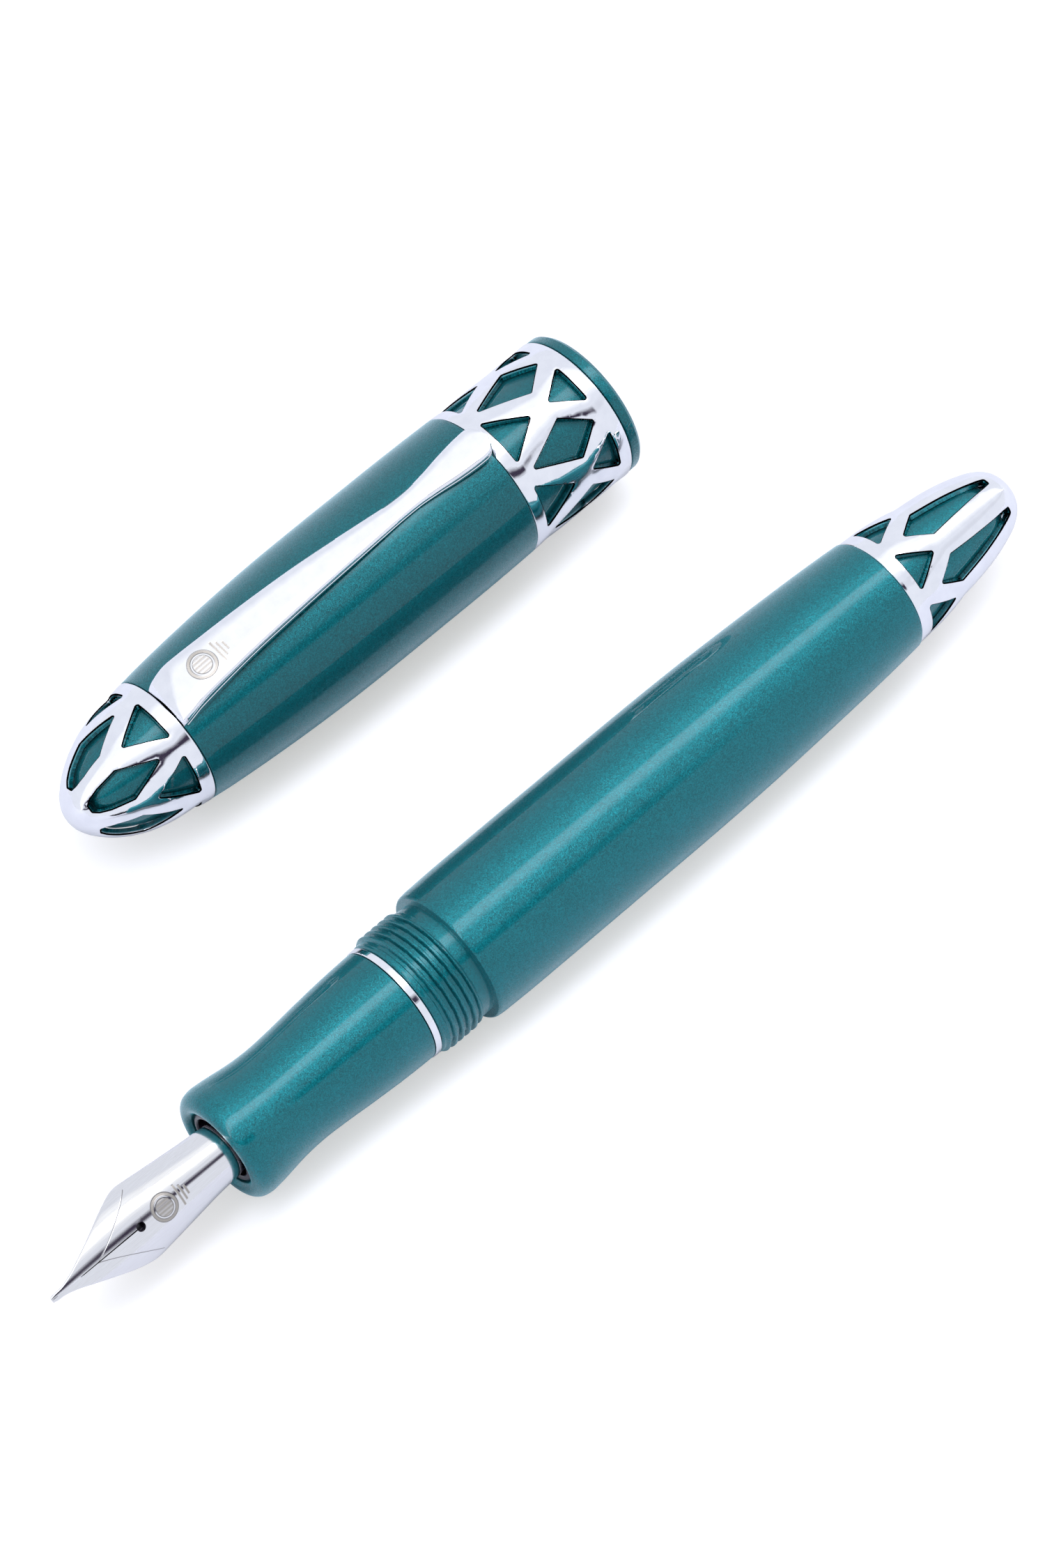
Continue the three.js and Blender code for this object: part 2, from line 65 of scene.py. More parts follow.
def joined(tree, value, socket):
    """A plain value set on a socket, or another socket linked to it."""
    if isinstance(value, bpy.types.NodeSocket):
        tree.links.new(value, socket)
    else:
        socket.default_value = value


def new_node(tree, kind, inputs=None, **settings):
    """A node with its settings, and with its inputs as values or as sockets to link."""
    node = tree.nodes.new(kind)
    for name, value in settings.items():
        setattr(node, name, value)
    for key, value in (inputs or {}).items():
        joined(tree, value, node.inputs[key])
    return node


def ramp(tree, factor, stops):
    """A colour ramp from (place, grey or colour) stops."""
    node = new_node(tree, "ShaderNodeValToRGB", {"Fac": factor})
    elements = node.color_ramp.elements
    while len(elements) < len(stops):
        elements.new(1.0)
    for element, (place, tone) in zip(elements, stops):
        element.position = place
        rgb = tone if isinstance(tone, tuple) else (tone, tone, tone)
        element.color = (*rgb, 1)
    return node.outputs["Color"]


def calc(tree, operation, *values, clamp=False):
    """One sum on sockets or plain numbers."""
    inputs = dict(enumerate(values))
    node = new_node(tree, "ShaderNodeMath", inputs, operation=operation, use_clamp=clamp)
    return node.outputs[0]


def tinted(tree, factor, base, tone):
    """A colour laid over another where the factor says."""
    inputs = {"Factor": factor, "A": base, "B": (*tone, 1)}
    return new_node(tree, "ShaderNodeMix", inputs, data_type="RGBA").outputs["Result"]


def noise(tree, place, scale, detail=2):
    inputs = {"Vector": place, "Scale": scale, "Detail": detail}
    return new_node(tree, "ShaderNodeTexNoise", inputs).outputs["Fac"]


def spanned(tree, value, low, high, to_low=0.0, to_high=1.0, kind="LINEAR"):
    """A value carried from one range to another."""
    inputs = {"Value": value, "From Min": low, "From Max": high, "To Min": to_low, "To Max": to_high}
    return new_node(tree, "ShaderNodeMapRange", inputs, interpolation_type=kind).outputs[0]


def vector(tree, operation, *values):
    inputs = dict(enumerate(values))
    return new_node(tree, "ShaderNodeVectorMath", inputs, operation=operation).outputs[0]


def stretched(tree, place, scale, rotation=(0, 0, 0)):
    """A place scaled unevenly, so that noise laid over it runs in streaks."""
    inputs = {"Vector": place, "Rotation": rotation, "Scale": scale}
    return new_node(tree, "ShaderNodeMapping", inputs).outputs[0]


def object_place(tree):
    return new_node(tree, "ShaderNodeTexCoord").outputs["Object"]


def split(tree, place):
    return new_node(tree, "ShaderNodeSeparateXYZ", {0: place}).outputs


def build_sky():
    """Card all round, brightest in a long box overhead, with the dark gap in front of it."""
    world = bpy.data.worlds.new("studio_card")
    world.use_nodes = True
    tree = world.node_tree
    tree.nodes.clear()
    axes = split(tree, new_node(tree, "ShaderNodeTexCoord").outputs["Generated"])
    turn = calc(tree, "ARCTAN2", axes["Z"], axes["Y"])
    place = calc(tree, "DIVIDE", turn, math.pi, clamp=True)
    card = (0.87, 0.9, 0.985)
    glow = (1.12, 1.14, 1.18)
    box = (4.5, 4.6, 4.95)
    stops = [(0.0, card), (55, card), (64, glow), (76, glow), (81, box), (90, box)]
    stops += [(100, glow), (112, card), (180, card)]
    sky = ramp(tree, place, [(degrees / 180, tone) for degrees, tone in stops])
    gap = [(0.0, 0.0), (119, 0.0), (127, 1.0), (133, 1.0), (138, 0.0)]
    gap_turn = ramp(tree, place, [(degrees / 180, share) for degrees, share in gap])
    gap_end = spanned(tree, axes["X"], 0.44, 0.3, 0.1, kind="SMOOTHSTEP")
    shade = calc(tree, "MULTIPLY", gap_turn, gap_end)
    tone = tinted(tree, shade, sky, (0.05, 0.04, 0.07))
    background = new_node(tree, "ShaderNodeBackground", {"Color": tone}).outputs[0]
    new_node(tree, "ShaderNodeOutputWorld", {"Surface": background})
    bpy.context.scene.world = world


def build_table():
    mesh = bpy.data.meshes.new("table_top")
    reach = 1.6
    corners = [(-reach, -reach, 0), (reach, -reach, 0), (reach, reach, 0), (-reach, reach, 0)]
    mesh.from_pydata(corners, [], [(0, 1, 2, 3)])
    table = bpy.data.objects.new("table_top", mesh)
    table.location.z = -0.00002
    bpy.context.scene.collection.objects.link(table)
    material = bpy.data.materials.new("white_table")
    material.use_nodes = True
    tree = material.node_tree
    grain = new_node(tree, "ShaderNodeTexNoise", {"Scale": 300}).outputs["Fac"]
    seen = new_node(tree, "ShaderNodeLightPath").outputs["Is Camera Ray"]
    values = {
        "Base Color": (0.645, 0.65, 0.695, 1),
        "Specular IOR Level": 0.2,
        "Emission Color": (1, 0.975, 0.89, 1),
        "Roughness": spanned(tree, grain, 0, 1, 0.55, 0.7),
        "Emission Strength": calc(tree, "MULTIPLY", seen, 0.44),
    }
    for socket, value in values.items():
        joined(tree, value, tree.nodes["Principled BSDF"].inputs[socket])
    mesh.materials.append(material)


build_sky()
build_table()


# ---- Barrel ----
# A turned barrel in teal lacquer full of fine metal flake, threaded at its front end for
# the grip section and cap, and screwed to the tail from inside. Lengths are millimetres
# from the nib's point, and radii are from the pen's axis.

HAIR = 0.012
AROUND = 180


def axis_of(node):
    low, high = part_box(node)
    return (low.y + high.y) / 2, (low.z + high.z) / 2


NIB_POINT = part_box("nib")[0].x
PEN_AXIS = axis_of("section_ring")


def spots(axis, x, radius, turn):
    """Points in the frame, from arrays of length, radius and turn from straight up."""
    y = axis[0] - radius * np.sin(turn) * MM
    z = axis[1] + radius * np.cos(turn) * MM
    return np.stack([NIB_POINT + x * MM, y, z], axis=-1)


def flowing(points, step=0.5):
    """Points a step apart on a smooth curve through the given ones."""
    p = np.array(points, float)
    along = np.r_[0, np.cumsum(np.hypot(*np.diff(p, axis=0).T))]
    slope = np.gradient(p, along, axis=0, edge_order=2 if len(p) > 2 else 1)
    t = np.linspace(0, along[-1], max(3, round(along[-1] / step) + 1))
    i = np.clip(np.searchsorted(along, t, side="right") - 1, 0, len(p) - 2)
    gap = (along[i + 1] - along[i])[:, None]
    u = (t[:, None] - along[i][:, None]) / gap
    start = (1 + 2 * u) * (1 - u) ** 2 * p[i] + u * (1 - u) ** 2 * gap * slope[i]
    end = u * u * (3 - 2 * u) * p[i + 1] + u * u * (u - 1) * gap * slope[i + 1]
    return [tuple(q) for q in start + end]


def eased(points, radius):
    """The closed outline with each corner sharper than 20 degrees rounded off."""
    p = np.array(points, float)
    made = []
    for i, corner in enumerate(p):
        before = p[i - 1] - corner
        after = p[(i + 1) % len(p)] - corner
        reach = min(np.linalg.norm(before), np.linalg.norm(after))
        before = before / np.linalg.norm(before)
        after = after / np.linalg.norm(after)
        bend = math.pi - math.acos(np.clip(before @ after, -1, 1))
        if bend < math.radians(20) or corner[1] <= 0:
            made.append(tuple(corner))
            continue
        cut = min(radius * math.tan(bend / 2), 0.45 * reach)
        a = corner + before * cut
        b = corner + after * cut
        for share in (0, 0.25, 0.5, 0.75, 1):
            q = (1 - share) ** 2 * a + 2 * share * (1 - share) * corner + share**2 * b
            made.append(tuple(q))
    return made


def mesh_piece(name, points, faces, body, material, replaced, smooth_below=38):
    """A closed piece in the frame that rides on its body and stands for CAD nodes."""
    mesh = bpy.data.meshes.new(name)
    mesh.from_pydata([tuple(q) for q in points], [], [tuple(map(int, f)) for f in faces])
    mesh.validate()
    mesh.update()
    volume = 0.0
    middle = np.mean(points, axis=0)
    for face in mesh.polygons:
        centre = np.array(face.center) - middle
        volume += face.area * float(centre @ np.array(face.normal))
    if volume < 0:
        mesh.flip_normals()
    mesh.shade_smooth()
    mesh.set_sharp_from_angle(angle=math.radians(smooth_below))
    mesh.materials.append(material)
    piece = bpy.data.objects.new(name, mesh)
    bpy.context.scene.collection.objects.link(piece)
    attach(piece, body)
    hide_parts(*replaced)
    return piece


def merged(points, faces):
    """Points that fall together become one, and faces that collapse go."""
    keys = np.round(np.asarray(points) / MM, 4)
    unique, first, back = np.unique(keys, axis=0, return_index=True, return_inverse=True)
    back = back.reshape(-1)
    kept = []
    for face in faces:
        ring = []
        for v in back[list(face)]:
            if not ring or v != ring[-1]:
                ring.append(v)
        if len(ring) > 1 and ring[0] == ring[-1]:
            ring.pop()
        if len(ring) > 2:
            kept.append(ring)
    return np.asarray(points)[first], kept, first


def turned(name, outline, axis, body, material, slot, replaced, relief=None, edge=0.08):
    """A piece turned on the lathe: a closed outline of (length, radius) swept round."""
    rim = np.array(eased(outline, edge))
    turn = np.linspace(0, 2 * math.pi, AROUND, endpoint=False)
    x = np.repeat(rim[:, :1], AROUND, axis=1)
    radius = np.repeat(np.maximum(rim[:, 1:], 0), AROUND, axis=1)
    if relief:
        radius = radius + relief(x, radius, turn[None, :])
    radius = np.where(radius > 6, radius - HAIR, radius)
    points = spots(axis, x, radius, turn[None, :]).reshape(-1, 3)
    faces = []
    rows = len(rim)
    for i in range(rows):
        k = (i + 1) % rows
        for j in range(AROUND):
            m = (j + 1) % AROUND
            faces.append((i * AROUND + j, i * AROUND + m, k * AROUND + m, k * AROUND + j))
    points, faces, _ = merged(points, faces)
    return mesh_piece(name, points, faces, body, material, replaced)


def effect(name, inputs, outputs):
    """An empty shader node group, with the sockets that its inside reads and fills."""
    group = bpy.data.node_groups.new(name, "ShaderNodeTree")
    for label, kind, value in inputs:
        socket = group.interface.new_socket(label, in_out="INPUT", socket_type=kind)
        if value is not None:
            socket.default_value = value
    for label, kind in outputs:
        group.interface.new_socket(label, in_out="OUTPUT", socket_type=kind)
    given = group.nodes.new("NodeGroupInput")
    result = group.nodes.new("NodeGroupOutput")
    return group, given.outputs, result.inputs


def metal_flake():
    """Flakes lying at slightly different tilts under clear lacquer."""
    inputs = [
        ("Flakes per Metre", "NodeSocketFloat", 9000.0),
        ("Tilt", "NodeSocketFloat", 0.3),
        ("Deep", "NodeSocketColor", (0.01, 0.1, 0.12, 1)),
        ("Bright", "NodeSocketColor", (0.03, 0.25, 0.3, 1)),
    ]
    outputs = [("Color", "NodeSocketColor"), ("Normal", "NodeSocketVector")]
    group, given, result = effect("metal_flake", inputs, outputs)
    place = object_place(group)
    cell = {"Vector": place, "Scale": given["Flakes per Metre"]}
    cells = new_node(group, "ShaderNodeTexVoronoi", cell).outputs["Color"]
    lean = {0: vector(group, "SUBTRACT", cells, (0.5, 0.5, 0.5)), "Scale": given["Tilt"]}
    tilted = new_node(group, "ShaderNodeVectorMath", lean, operation="SCALE").outputs[0]
    face = new_node(group, "ShaderNodeNewGeometry").outputs["Normal"]
    summed = vector(group, "ADD", face, tilted)
    joined(group, vector(group, "NORMALIZE", summed), result["Normal"])
    grey = new_node(group, "ShaderNodeSeparateColor", {0: cells}).outputs[0]
    share = calc(group, "MULTIPLY_ADD", grey, 0.9, -0.1)
    share = calc(group, "MULTIPLY_ADD", noise(group, place, 420, 4), 0.35, share, clamp=True)
    mix = {"Factor": share, "A": given["Deep"], "B": given["Bright"]}
    blend = new_node(group, "ShaderNodeMix", mix, data_type="RGBA")
    joined(group, blend.outputs["Result"], result["Color"])
    return group


def handling():
    """Faint smears from fingers and the finest hairlines, as roughness and height."""
    inputs = [
        ("Least", "NodeSocketFloat", 0.04),
        ("Most", "NodeSocketFloat", 0.1),
        ("Scale", "NodeSocketFloat", 160.0),
    ]
    outputs = [("Roughness", "NodeSocketFloat"), ("Height", "NodeSocketFloat")]
    group, given, result = effect("handling", inputs, outputs)
    place = object_place(group)
    smear = noise(group, place, given["Scale"], 5)
    streaks = stretched(group, place, (260, 9000, 9000), (0.3, 0.5, 0.9))
    hair = spanned(group, noise(group, streaks, 1), 0.62, 0.78)
    joined(group, hair, result["Height"])
    share = calc(group, "MULTIPLY_ADD", hair, 0.35, smear, clamp=True)
    rough = spanned(group, share, 0.3, 0.8, given["Least"], given["Most"])
    joined(group, rough, result["Roughness"])
    return group


FLAKE = metal_flake()
HANDLING = handling()


def finish(name, color, roughness, metallic=0.0, more=None):
    """A material whose fixed values sit on the shader's own sockets."""
    material = bpy.data.materials.new(name)
    material.use_nodes = True
    shader = material.node_tree.nodes["Principled BSDF"]
    values = {"Base Color": (*color, 1), "Roughness": roughness, "Metallic": metallic}
    values |= {"Coat Roughness": 0.03} | (more or {})
    for socket, value in values.items():
        shader.inputs[socket].default_value = value
    return material, material.node_tree, shader


def placed(tree, group, **values):
    """A shared effect set down in a material with its own values."""
    node = new_node(tree, "ShaderNodeGroup", node_tree=group)
    for label, value in values.items():
        node.inputs[label.replace("_", " ")].default_value = value
    return node


def handled(tree, shader, least, most, scale=160.0):
    """Handling on a material's roughness, between its least and its most."""
    touch = placed(tree, HANDLING, Least=least, Most=most, Scale=scale)
    joined(tree, touch.outputs["Roughness"], shader.inputs["Roughness"])
    return touch


def bumped(tree, shader, height, distance):
    inputs = {"Strength": 1.0, "Distance": distance, "Height": height}
    bump = new_node(tree, "ShaderNodeBump", inputs)
    joined(tree, bump.outputs[0], shader.inputs["Normal"])


def teal_lacquer(name, depth):
    """The lacquer; a depth under one darkens the flake's colours, which paints shade on a part that gets
    less light.
    """
    coat = {"Coat Weight": 1.0, "Coat IOR": 1.37, "Sheen Weight": 0.3, "Sheen Roughness": 0.4}
    coat["Sheen Tint"] = (0.12, 0.72, 0.85, 1)
    material, tree, shader = finish(name, (0.01, 0.15, 0.18), 0.45, 0.92, coat)
    deep = (0.0, 0.104 * depth, 0.12 * depth, 1)
    bright = (0.003, 0.203 * depth, 0.238 * depth, 1)
    flake = placed(tree, FLAKE, Flakes_per_Metre=10500, Deep=deep, Bright=bright, Tilt=0.33)
    joined(tree, flake.outputs["Color"], shader.inputs["Base Color"])
    joined(tree, flake.outputs["Normal"], shader.inputs["Normal"])
    handled(tree, shader, 0.42, 0.52)
    return material


LACQUER = teal_lacquer("teal_lacquer", 1.0)

BARREL_STEP = 58.9
TAIL_JOINT = 125.25
NECK = 51.45
NECK_RADIUS = 7.35
PITCH = 0.98
RIDGE_HEIGHT = 0.44
THREAD_START = 51.9
THREAD_END = 57.6


def thread_relief(x, radius, turn):
    """Rounded ridges that wind round the neck and fade out at both ends."""
    phase = (x - THREAD_START) / PITCH - turn / (2 * math.pi)
    ridge = np.clip(np.cos(2 * math.pi * phase) * 0.9 + 0.28, 0, 1) ** 0.8
    fade_in = np.clip((x - THREAD_START) / 0.5, 0, 1)
    fade_out = np.clip((THREAD_END - x) / 0.9, 0, 1)
    on_neck = (radius > NECK_RADIUS - 0.02) & (x < BARREL_STEP - 0.3) & (x > NECK)
    return np.where(on_neck, RIDGE_HEIGHT * ridge * fade_in * fade_out, 0)


def barrel():
    neck = [(x, NECK_RADIUS) for x in np.arange(NECK + 0.25, BARREL_STEP, 0.06)]
    shoulder = flowing([(BARREL_STEP, 8.18), (59.1, 8.34), (59.6, 8.43), (60.6, 8.49)], 0.1)
    body = flowing(
        [
            (60.6, 8.49), (62.5, 8.54), (70, 8.59), (81, 8.6), (92.5, 8.59), (101, 8.47),
            (108, 8.23), (114, 7.98), (120, 7.68), (TAIL_JOINT - 0.08, 7.32),
        ],
        1.0,
    )
    inside = [(TAIL_JOINT - 0.08, 5.6), (119, 5.6), (117, 6.5), (63, 6.9), (62.5, 6.35)]
    inside += [(NECK, 6.35), (NECK, NECK_RADIUS - 0.2), (NECK + 0.2, NECK_RADIUS)]
    outline = neck + [(BARREL_STEP, NECK_RADIUS)] + shoulder + body[1:] + inside
    turned(
        "barrel", outline, PEN_AXIS, "barrel", LACQUER, "teal_lacquer",
        ["barrel_shell"], thread_relief, edge=0.1,
    )


barrel()


# ---- Tail ----
# A lacquered core under a cast and polished metal openwork cap, six windows round, closed
# by a solid nose. A long screw from inside holds both to the barrel.

POLISH_LEAST = 0.035
POLISH_MOST = 0.075
CAST_TONES = [(0.3, (0.84, 0.85, 0.89)), (0.7, (0.9, 0.91, 0.94))]


def polished_metal():
    material, tree, shader = finish("polished_metal", (0.88, 0.89, 0.92), 0.05, 1.0)
    touch = handled(tree, shader, POLISH_LEAST, POLISH_MOST, 240.0)
    cast = noise(tree, object_place(tree), 700, 3)
    joined(tree, ramp(tree, cast, CAST_TONES), shader.inputs["Base Color"])
    height = calc(tree, "MULTIPLY_ADD", touch.outputs["Height"], -0.2, cast)
    bumped(tree, shader, height, 0.000006)
    return material


POLISHED = polished_metal()

WINDOW_PAIRS = 6
HALF_STEP = math.pi / WINDOW_PAIRS
CORNER = 0.2
LIP = 0.16
WALL_DEPTH = 0.85
PILLOW = 0.17
PILLOW_REACH = 0.55
SHEET_STEP = 0.4


class Skin:
    """A profile of (length, radius) known by the distance along it."""

    def __init__(self, profile):
        self.p = np.array(profile, float)
        steps = np.hypot(*np.diff(self.p, axis=0).T)
        self.along = np.r_[0, np.cumsum(steps)]
        slope = np.gradient(self.p, self.along, axis=0)
        self.slope = slope / np.linalg.norm(slope, axis=1)[:, None]

    def distance(self, x):
        return np.interp(x, self.p[:, 0], self.along)

    def radius(self, s):
        return np.interp(s, self.along, self.p[:, 1])

    def at(self, s):
        x = np.interp(s, self.along, self.p[:, 0])
        slope_x = np.interp(s, self.along, self.slope[:, 0])
        slope_r = np.interp(s, self.along, self.slope[:, 1])
        return x, self.radius(s), slope_x, slope_r


def window_edge(skin, outline):
    """Centres and outward directions along half a window whose corners are rounded."""
    s = skin.distance([x for x, _ in outline])
    t = np.radians([degrees for _, degrees in outline]) * skin.radius(s)
    p = np.stack([s, t], axis=1)
    inside = np.array([p[:, 0].mean(), 0])
    normals = []
    for a, b in zip(p, p[1:]):
        n = np.array([b[1] - a[1], a[0] - b[0]])
        n /= np.linalg.norm(n)
        normals.append(n if n @ (a - inside) > 0 else -n)
    flip = np.array([1, -1])
    before = [normals[0] * flip, *normals]
    after = [*normals, normals[-1] * flip]
    centres = []
    directions = []
    for k, corner in enumerate(p):
        a, b = before[k], after[k]
        centre = corner - CORNER * (a + b) / (1 + a @ b)
        if k == 0:
            a = (a + b) / np.linalg.norm(a + b)
        if k == len(p) - 1:
            b = (a + b) / np.linalg.norm(a + b)
        swing = math.acos(np.clip(a @ b, -1, 1))
        steps = max(1, round(swing / math.radians(14)))
        if centres:
            gap = np.linalg.norm(centre - centres[-1])
            for share in np.linspace(0, 1, max(2, round(gap / 0.35)) + 1)[1:-1]:
                centres.append(last_centre * (1 - share) + centre * share)
                directions.append(a)
        for share in np.linspace(0, 1, steps + 1) if swing > 0.01 else [1]:
            if swing > 0.01:
                d = (math.sin((1 - share) * swing) * a + math.sin(share * swing) * b) / math.sin(swing)
            else:
                d = b
            centres.append(centre)
            directions.append(d)
        last_centre = centre
    centres, directions = np.array(centres), np.array(directions)
    centres[[0, -1], 1] = 0
    directions[[0, -1], 1] = 0
    directions[[0, -1], 0] = np.sign(directions[[0, -1], 0])
    return centres, directions


def inside_ring(ring, q):
    """Which of the points q lie inside the ring."""
    a, b = ring, np.roll(ring, -1, axis=0)
    crossing = np.zeros(len(q), int)
    for (x0, y0), (x1, y1) in zip(a, b):
        if y0 == y1:
            continue
        hit = (y0 > q[:, 1]) != (y1 > q[:, 1])
        crossing += hit & (q[:, 0] < (x1 - x0) * (q[:, 1] - y0) / (y1 - y0) + x0)
    return crossing % 2 == 1


def openwork(name, profile, windows, phase, sheet, before, after, axis, body, replaced):
    """A pierced metal skin. It is drawn as half a window pair, with its edges rolled over
    into the windows, then mirrored and repeated round.
    windows are (degrees from the phase, half outline); sheet is the flat part's first and
    last x; before and after are the rows of x that carry on from it to each end."""
    skin = Skin(profile)
    s0, s1 = skin.distance(sheet)
    grid_turns = np.linspace(0, HALF_STEP, 13)
    drawn, faces, walls = [], [], []

    def add(s, turn, sink=0.0, tilt=(0.0, 0.0, 1.0)):
        drawn.append((s, turn, sink, *tilt))
        return len(drawn) - 1

    def crowned(s, turn):
        """How far a point of the sheet sinks near the windows, and its normal's lean."""
        sink, lean = 0.0, np.zeros(2)
        for edge_s, edge_turn in rims:
            away = np.stack([s - edge_s, (turn - edge_turn) * skin.radius(s)], axis=1)
            gap = np.hypot(*away.T)
            near = gap.argmin()
            share = PILLOW * math.exp(-gap[near] / PILLOW_REACH)
            sink += share * PILLOW_REACH
            lean -= share * away[near] / max(gap[near], 1e-6)
        return sink, (lean[0], lean[1], 1.0)

    rims = []
    sides = {0: [], 30: []}
    for degrees, outline in windows:
        centres, directions = window_edge(skin, outline)
        if centres[0, 0] > centres[-1, 0]:
            centres, directions = centres[::-1], directions[::-1]
        rings = []
        for tau in np.linspace(PILLOW, math.pi / 2, 5):
            reach = CORNER + LIP * (1 - math.sin(tau))
            sink = LIP * (1 - math.cos(tau)) + PILLOW * PILLOW_REACH
            ring = []
            for centre, way in zip(centres, directions):
                s, t = centre + reach * way
                around = t / skin.radius(s)
                sign = 1 if degrees == 0 else -1
                tilt = (-math.sin(tau) * way[0], -math.sin(tau) * way[1] * sign, math.cos(tau))
                ring.append(add(s, around if degrees == 0 else HALF_STEP - around, sink, tilt))
            rings.append(ring)
        for outer, inner in zip(rings, rings[1:]):
            for j in range(len(outer) - 1):
                quad = (outer[j], outer[j + 1], inner[j + 1], inner[j])
                faces.append(quad if degrees == 0 else quad[::-1])
        walls.append(rings[-1] if degrees == 0 else rings[-1][::-1])
        sides[degrees].append(rings[0])
        edge_s, edge_turn = np.array([drawn[i][:2] for i in rings[0]]).T
        mirror = -edge_turn if degrees == 0 else 2 * HALF_STEP - edge_turn
        rims.append((np.r_[edge_s, edge_s], np.r_[edge_turn, mirror]))

    def side(turn, rings, start, end):
        """The points along one side of the sheet, round its windows."""
        path = []
        here = drawn[start][0]
        for ring in [*sorted(rings, key=lambda ring: drawn[ring[0]][0]), [end]]:
            there = drawn[ring[0]][0]
            steps = max(1, round((there - here) / SHEET_STEP))
            for s in np.linspace(here, there, steps + 1)[1:-1]:
                path.append(add(s, turn, *crowned(s, turn)))
            path += ring
            here = drawn[ring[-1]][0]
        return path[:-1]

    front = [add(s0, turn) for turn in grid_turns]
    rear = [add(s1, turn) for turn in grid_turns]
    low_side = side(0.0, sides[0], front[0], rear[0])
    high_side = side(HALF_STEP, sides[30], front[-1], rear[-1])
    ring = front[:1] + low_side + rear + high_side[::-1] + front[:0:-1]

    def flat(index):
        s, turn = np.array([drawn[i][:2] for i in index]).T
        return np.stack([s, turn * skin.radius(s)], axis=1)

    border = flat(ring)
    grid_s = np.arange(s0 + SHEET_STEP, s1 - SHEET_STEP / 2, SHEET_STEP)
    ss, tt = np.meshgrid(grid_s, grid_turns[1:-1])
    grid = np.stack([ss.ravel(), tt.ravel()], axis=1)
    q = np.stack([grid[:, 0], grid[:, 1] * skin.radius(grid[:, 0])], axis=1)
    gap = np.min(np.linalg.norm(q[:, None] - border[None], axis=2), axis=1)
    keep = inside_ring(border, q) & (gap > 0.16)
    inner = [add(s, turn, *crowned(s, turn)) for s, turn in grid[keep]]
    index = ring + inner
    flat_points = [Vector(point) for point in flat(index)]
    loop = list(range(len(ring)))
    edges = [(i, (i + 1) % len(ring)) for i in loop]
    made = geometry.delaunay_2d_cdt(flat_points, edges, [loop], 1, 1e-6)
    source = [index[origin[0]] if origin else None for origin in made[3]]
    for face in made[2]:
        corners = [source[i] for i in face]
        if None not in corners:
            area = np.cross(*(np.diff(flat(corners)[:3], axis=0)))
            faces.append(corners if area > 0 else corners[::-1])

    ends = []
    for start, rows, forward in ((front, before, False), (rear, after, True)):
        last = start
        for x_row in rows:
            row = [add(x_row, turn) for turn in grid_turns]
            for j in range(len(row) - 1):
                quad = (last[j], row[j], row[j + 1], last[j + 1])
                faces.append(quad if forward else quad[::-1])
            last = row
        ends.append(last if forward else last[::-1])

    s, turn, sink, *lean = np.array(drawn).T
    tilt = np.stack(lean, axis=1)
    count = len(s)
    x, radius, slope_x, slope_r = skin.at(s)

    def lifted(depth):
        """The lengths and radii of the points at a depth below the skin."""
        return x + slope_r * depth, np.maximum(radius - slope_x * depth, 0)

    deep = np.minimum(WALL_DEPTH, radius / np.maximum(slope_x, 0.05))
    outer_x, outer_r = lifted(sink)
    inner_x, inner_r = lifted(deep)
    all_x = np.r_[outer_x, inner_x]
    all_r = np.r_[outer_r, inner_r]
    all_r = np.maximum(all_r - HAIR, 0)
    both = [tuple(face) for face in faces]
    both += [tuple(i + count for i in reversed(face)) for face in faces]
    for wall in walls + ends:
        for a, b in zip(wall, wall[1:]):
            both.append((b, a, a + count, b + count))
    along_n = tilt[:, 0] * slope_x - tilt[:, 2] * slope_r
    out_n = tilt[:, 0] * slope_r + tilt[:, 2] * slope_x
    n_local = np.stack([along_n, out_n, tilt[:, 1]], axis=1)
    n_local = np.r_[n_local, np.stack([slope_r, -slope_x, 0 * slope_x], axis=1)]
    turns = np.r_[turn, turn]
    points, normals, rings_of_faces = [], [], []
    for k in range(WINDOW_PAIRS):
        for hand in (1, -1):
            angle = math.radians(phase) + 2 * HALF_STEP * k + hand * turns
            base = sum(len(part) for part in points)
            points.append(spots(axis, all_x, all_r, angle))
            out_way = np.stack([0 * angle, -np.sin(angle), np.cos(angle)], axis=1)
            side_way = hand * np.stack([0 * angle, -np.cos(angle), -np.sin(angle)], axis=1)
            way = n_local[:, 1:2] * out_way + n_local[:, 2:3] * side_way
            way[:, 0] += n_local[:, 0]
            normals.append(way)
            for face in both:
                face = face if hand > 0 else face[::-1]
                rings_of_faces.append(tuple(i + base for i in face))
    points = np.concatenate(points)
    normals = np.concatenate(normals)
    points, kept, first = merged(points, rings_of_faces)
    piece = mesh_piece(name, points, kept, body, POLISHED, replaced, 180)
    normals = normals[first]
    normals /= np.maximum(np.linalg.norm(normals, axis=1), 1e-9)[:, None]
    piece.data.normals_split_custom_set_from_vertices([tuple(n) for n in normals])
    return piece


TAIL_TURN = -7
TAIL_OUTLINE = flowing(
    [
        (TAIL_JOINT + 0.25, 7.19), (128.5, 7.04), (132.8, 6.6), (137.5, 5.9), (141, 5.0),
        (143.5, 4.0), (145.05, 2.75), (145.7, 1.4), (145.9, 0.0),
    ],
    0.1,
)
TAIL_EDGE = [(TAIL_JOINT + 0.03, 6.98), (TAIL_JOINT + 0.08, 7.09), (TAIL_JOINT + 0.16, 7.16)]
TAIL_TRIANGLE = [(127.2, 0), (127.2, 20.5), (131.2, 0)]
TAIL_LEAF = [(129.9, 0), (132.8, 16.5), (137.5, 12.7), (142, 7.5), (143, 5), (143, 0)]


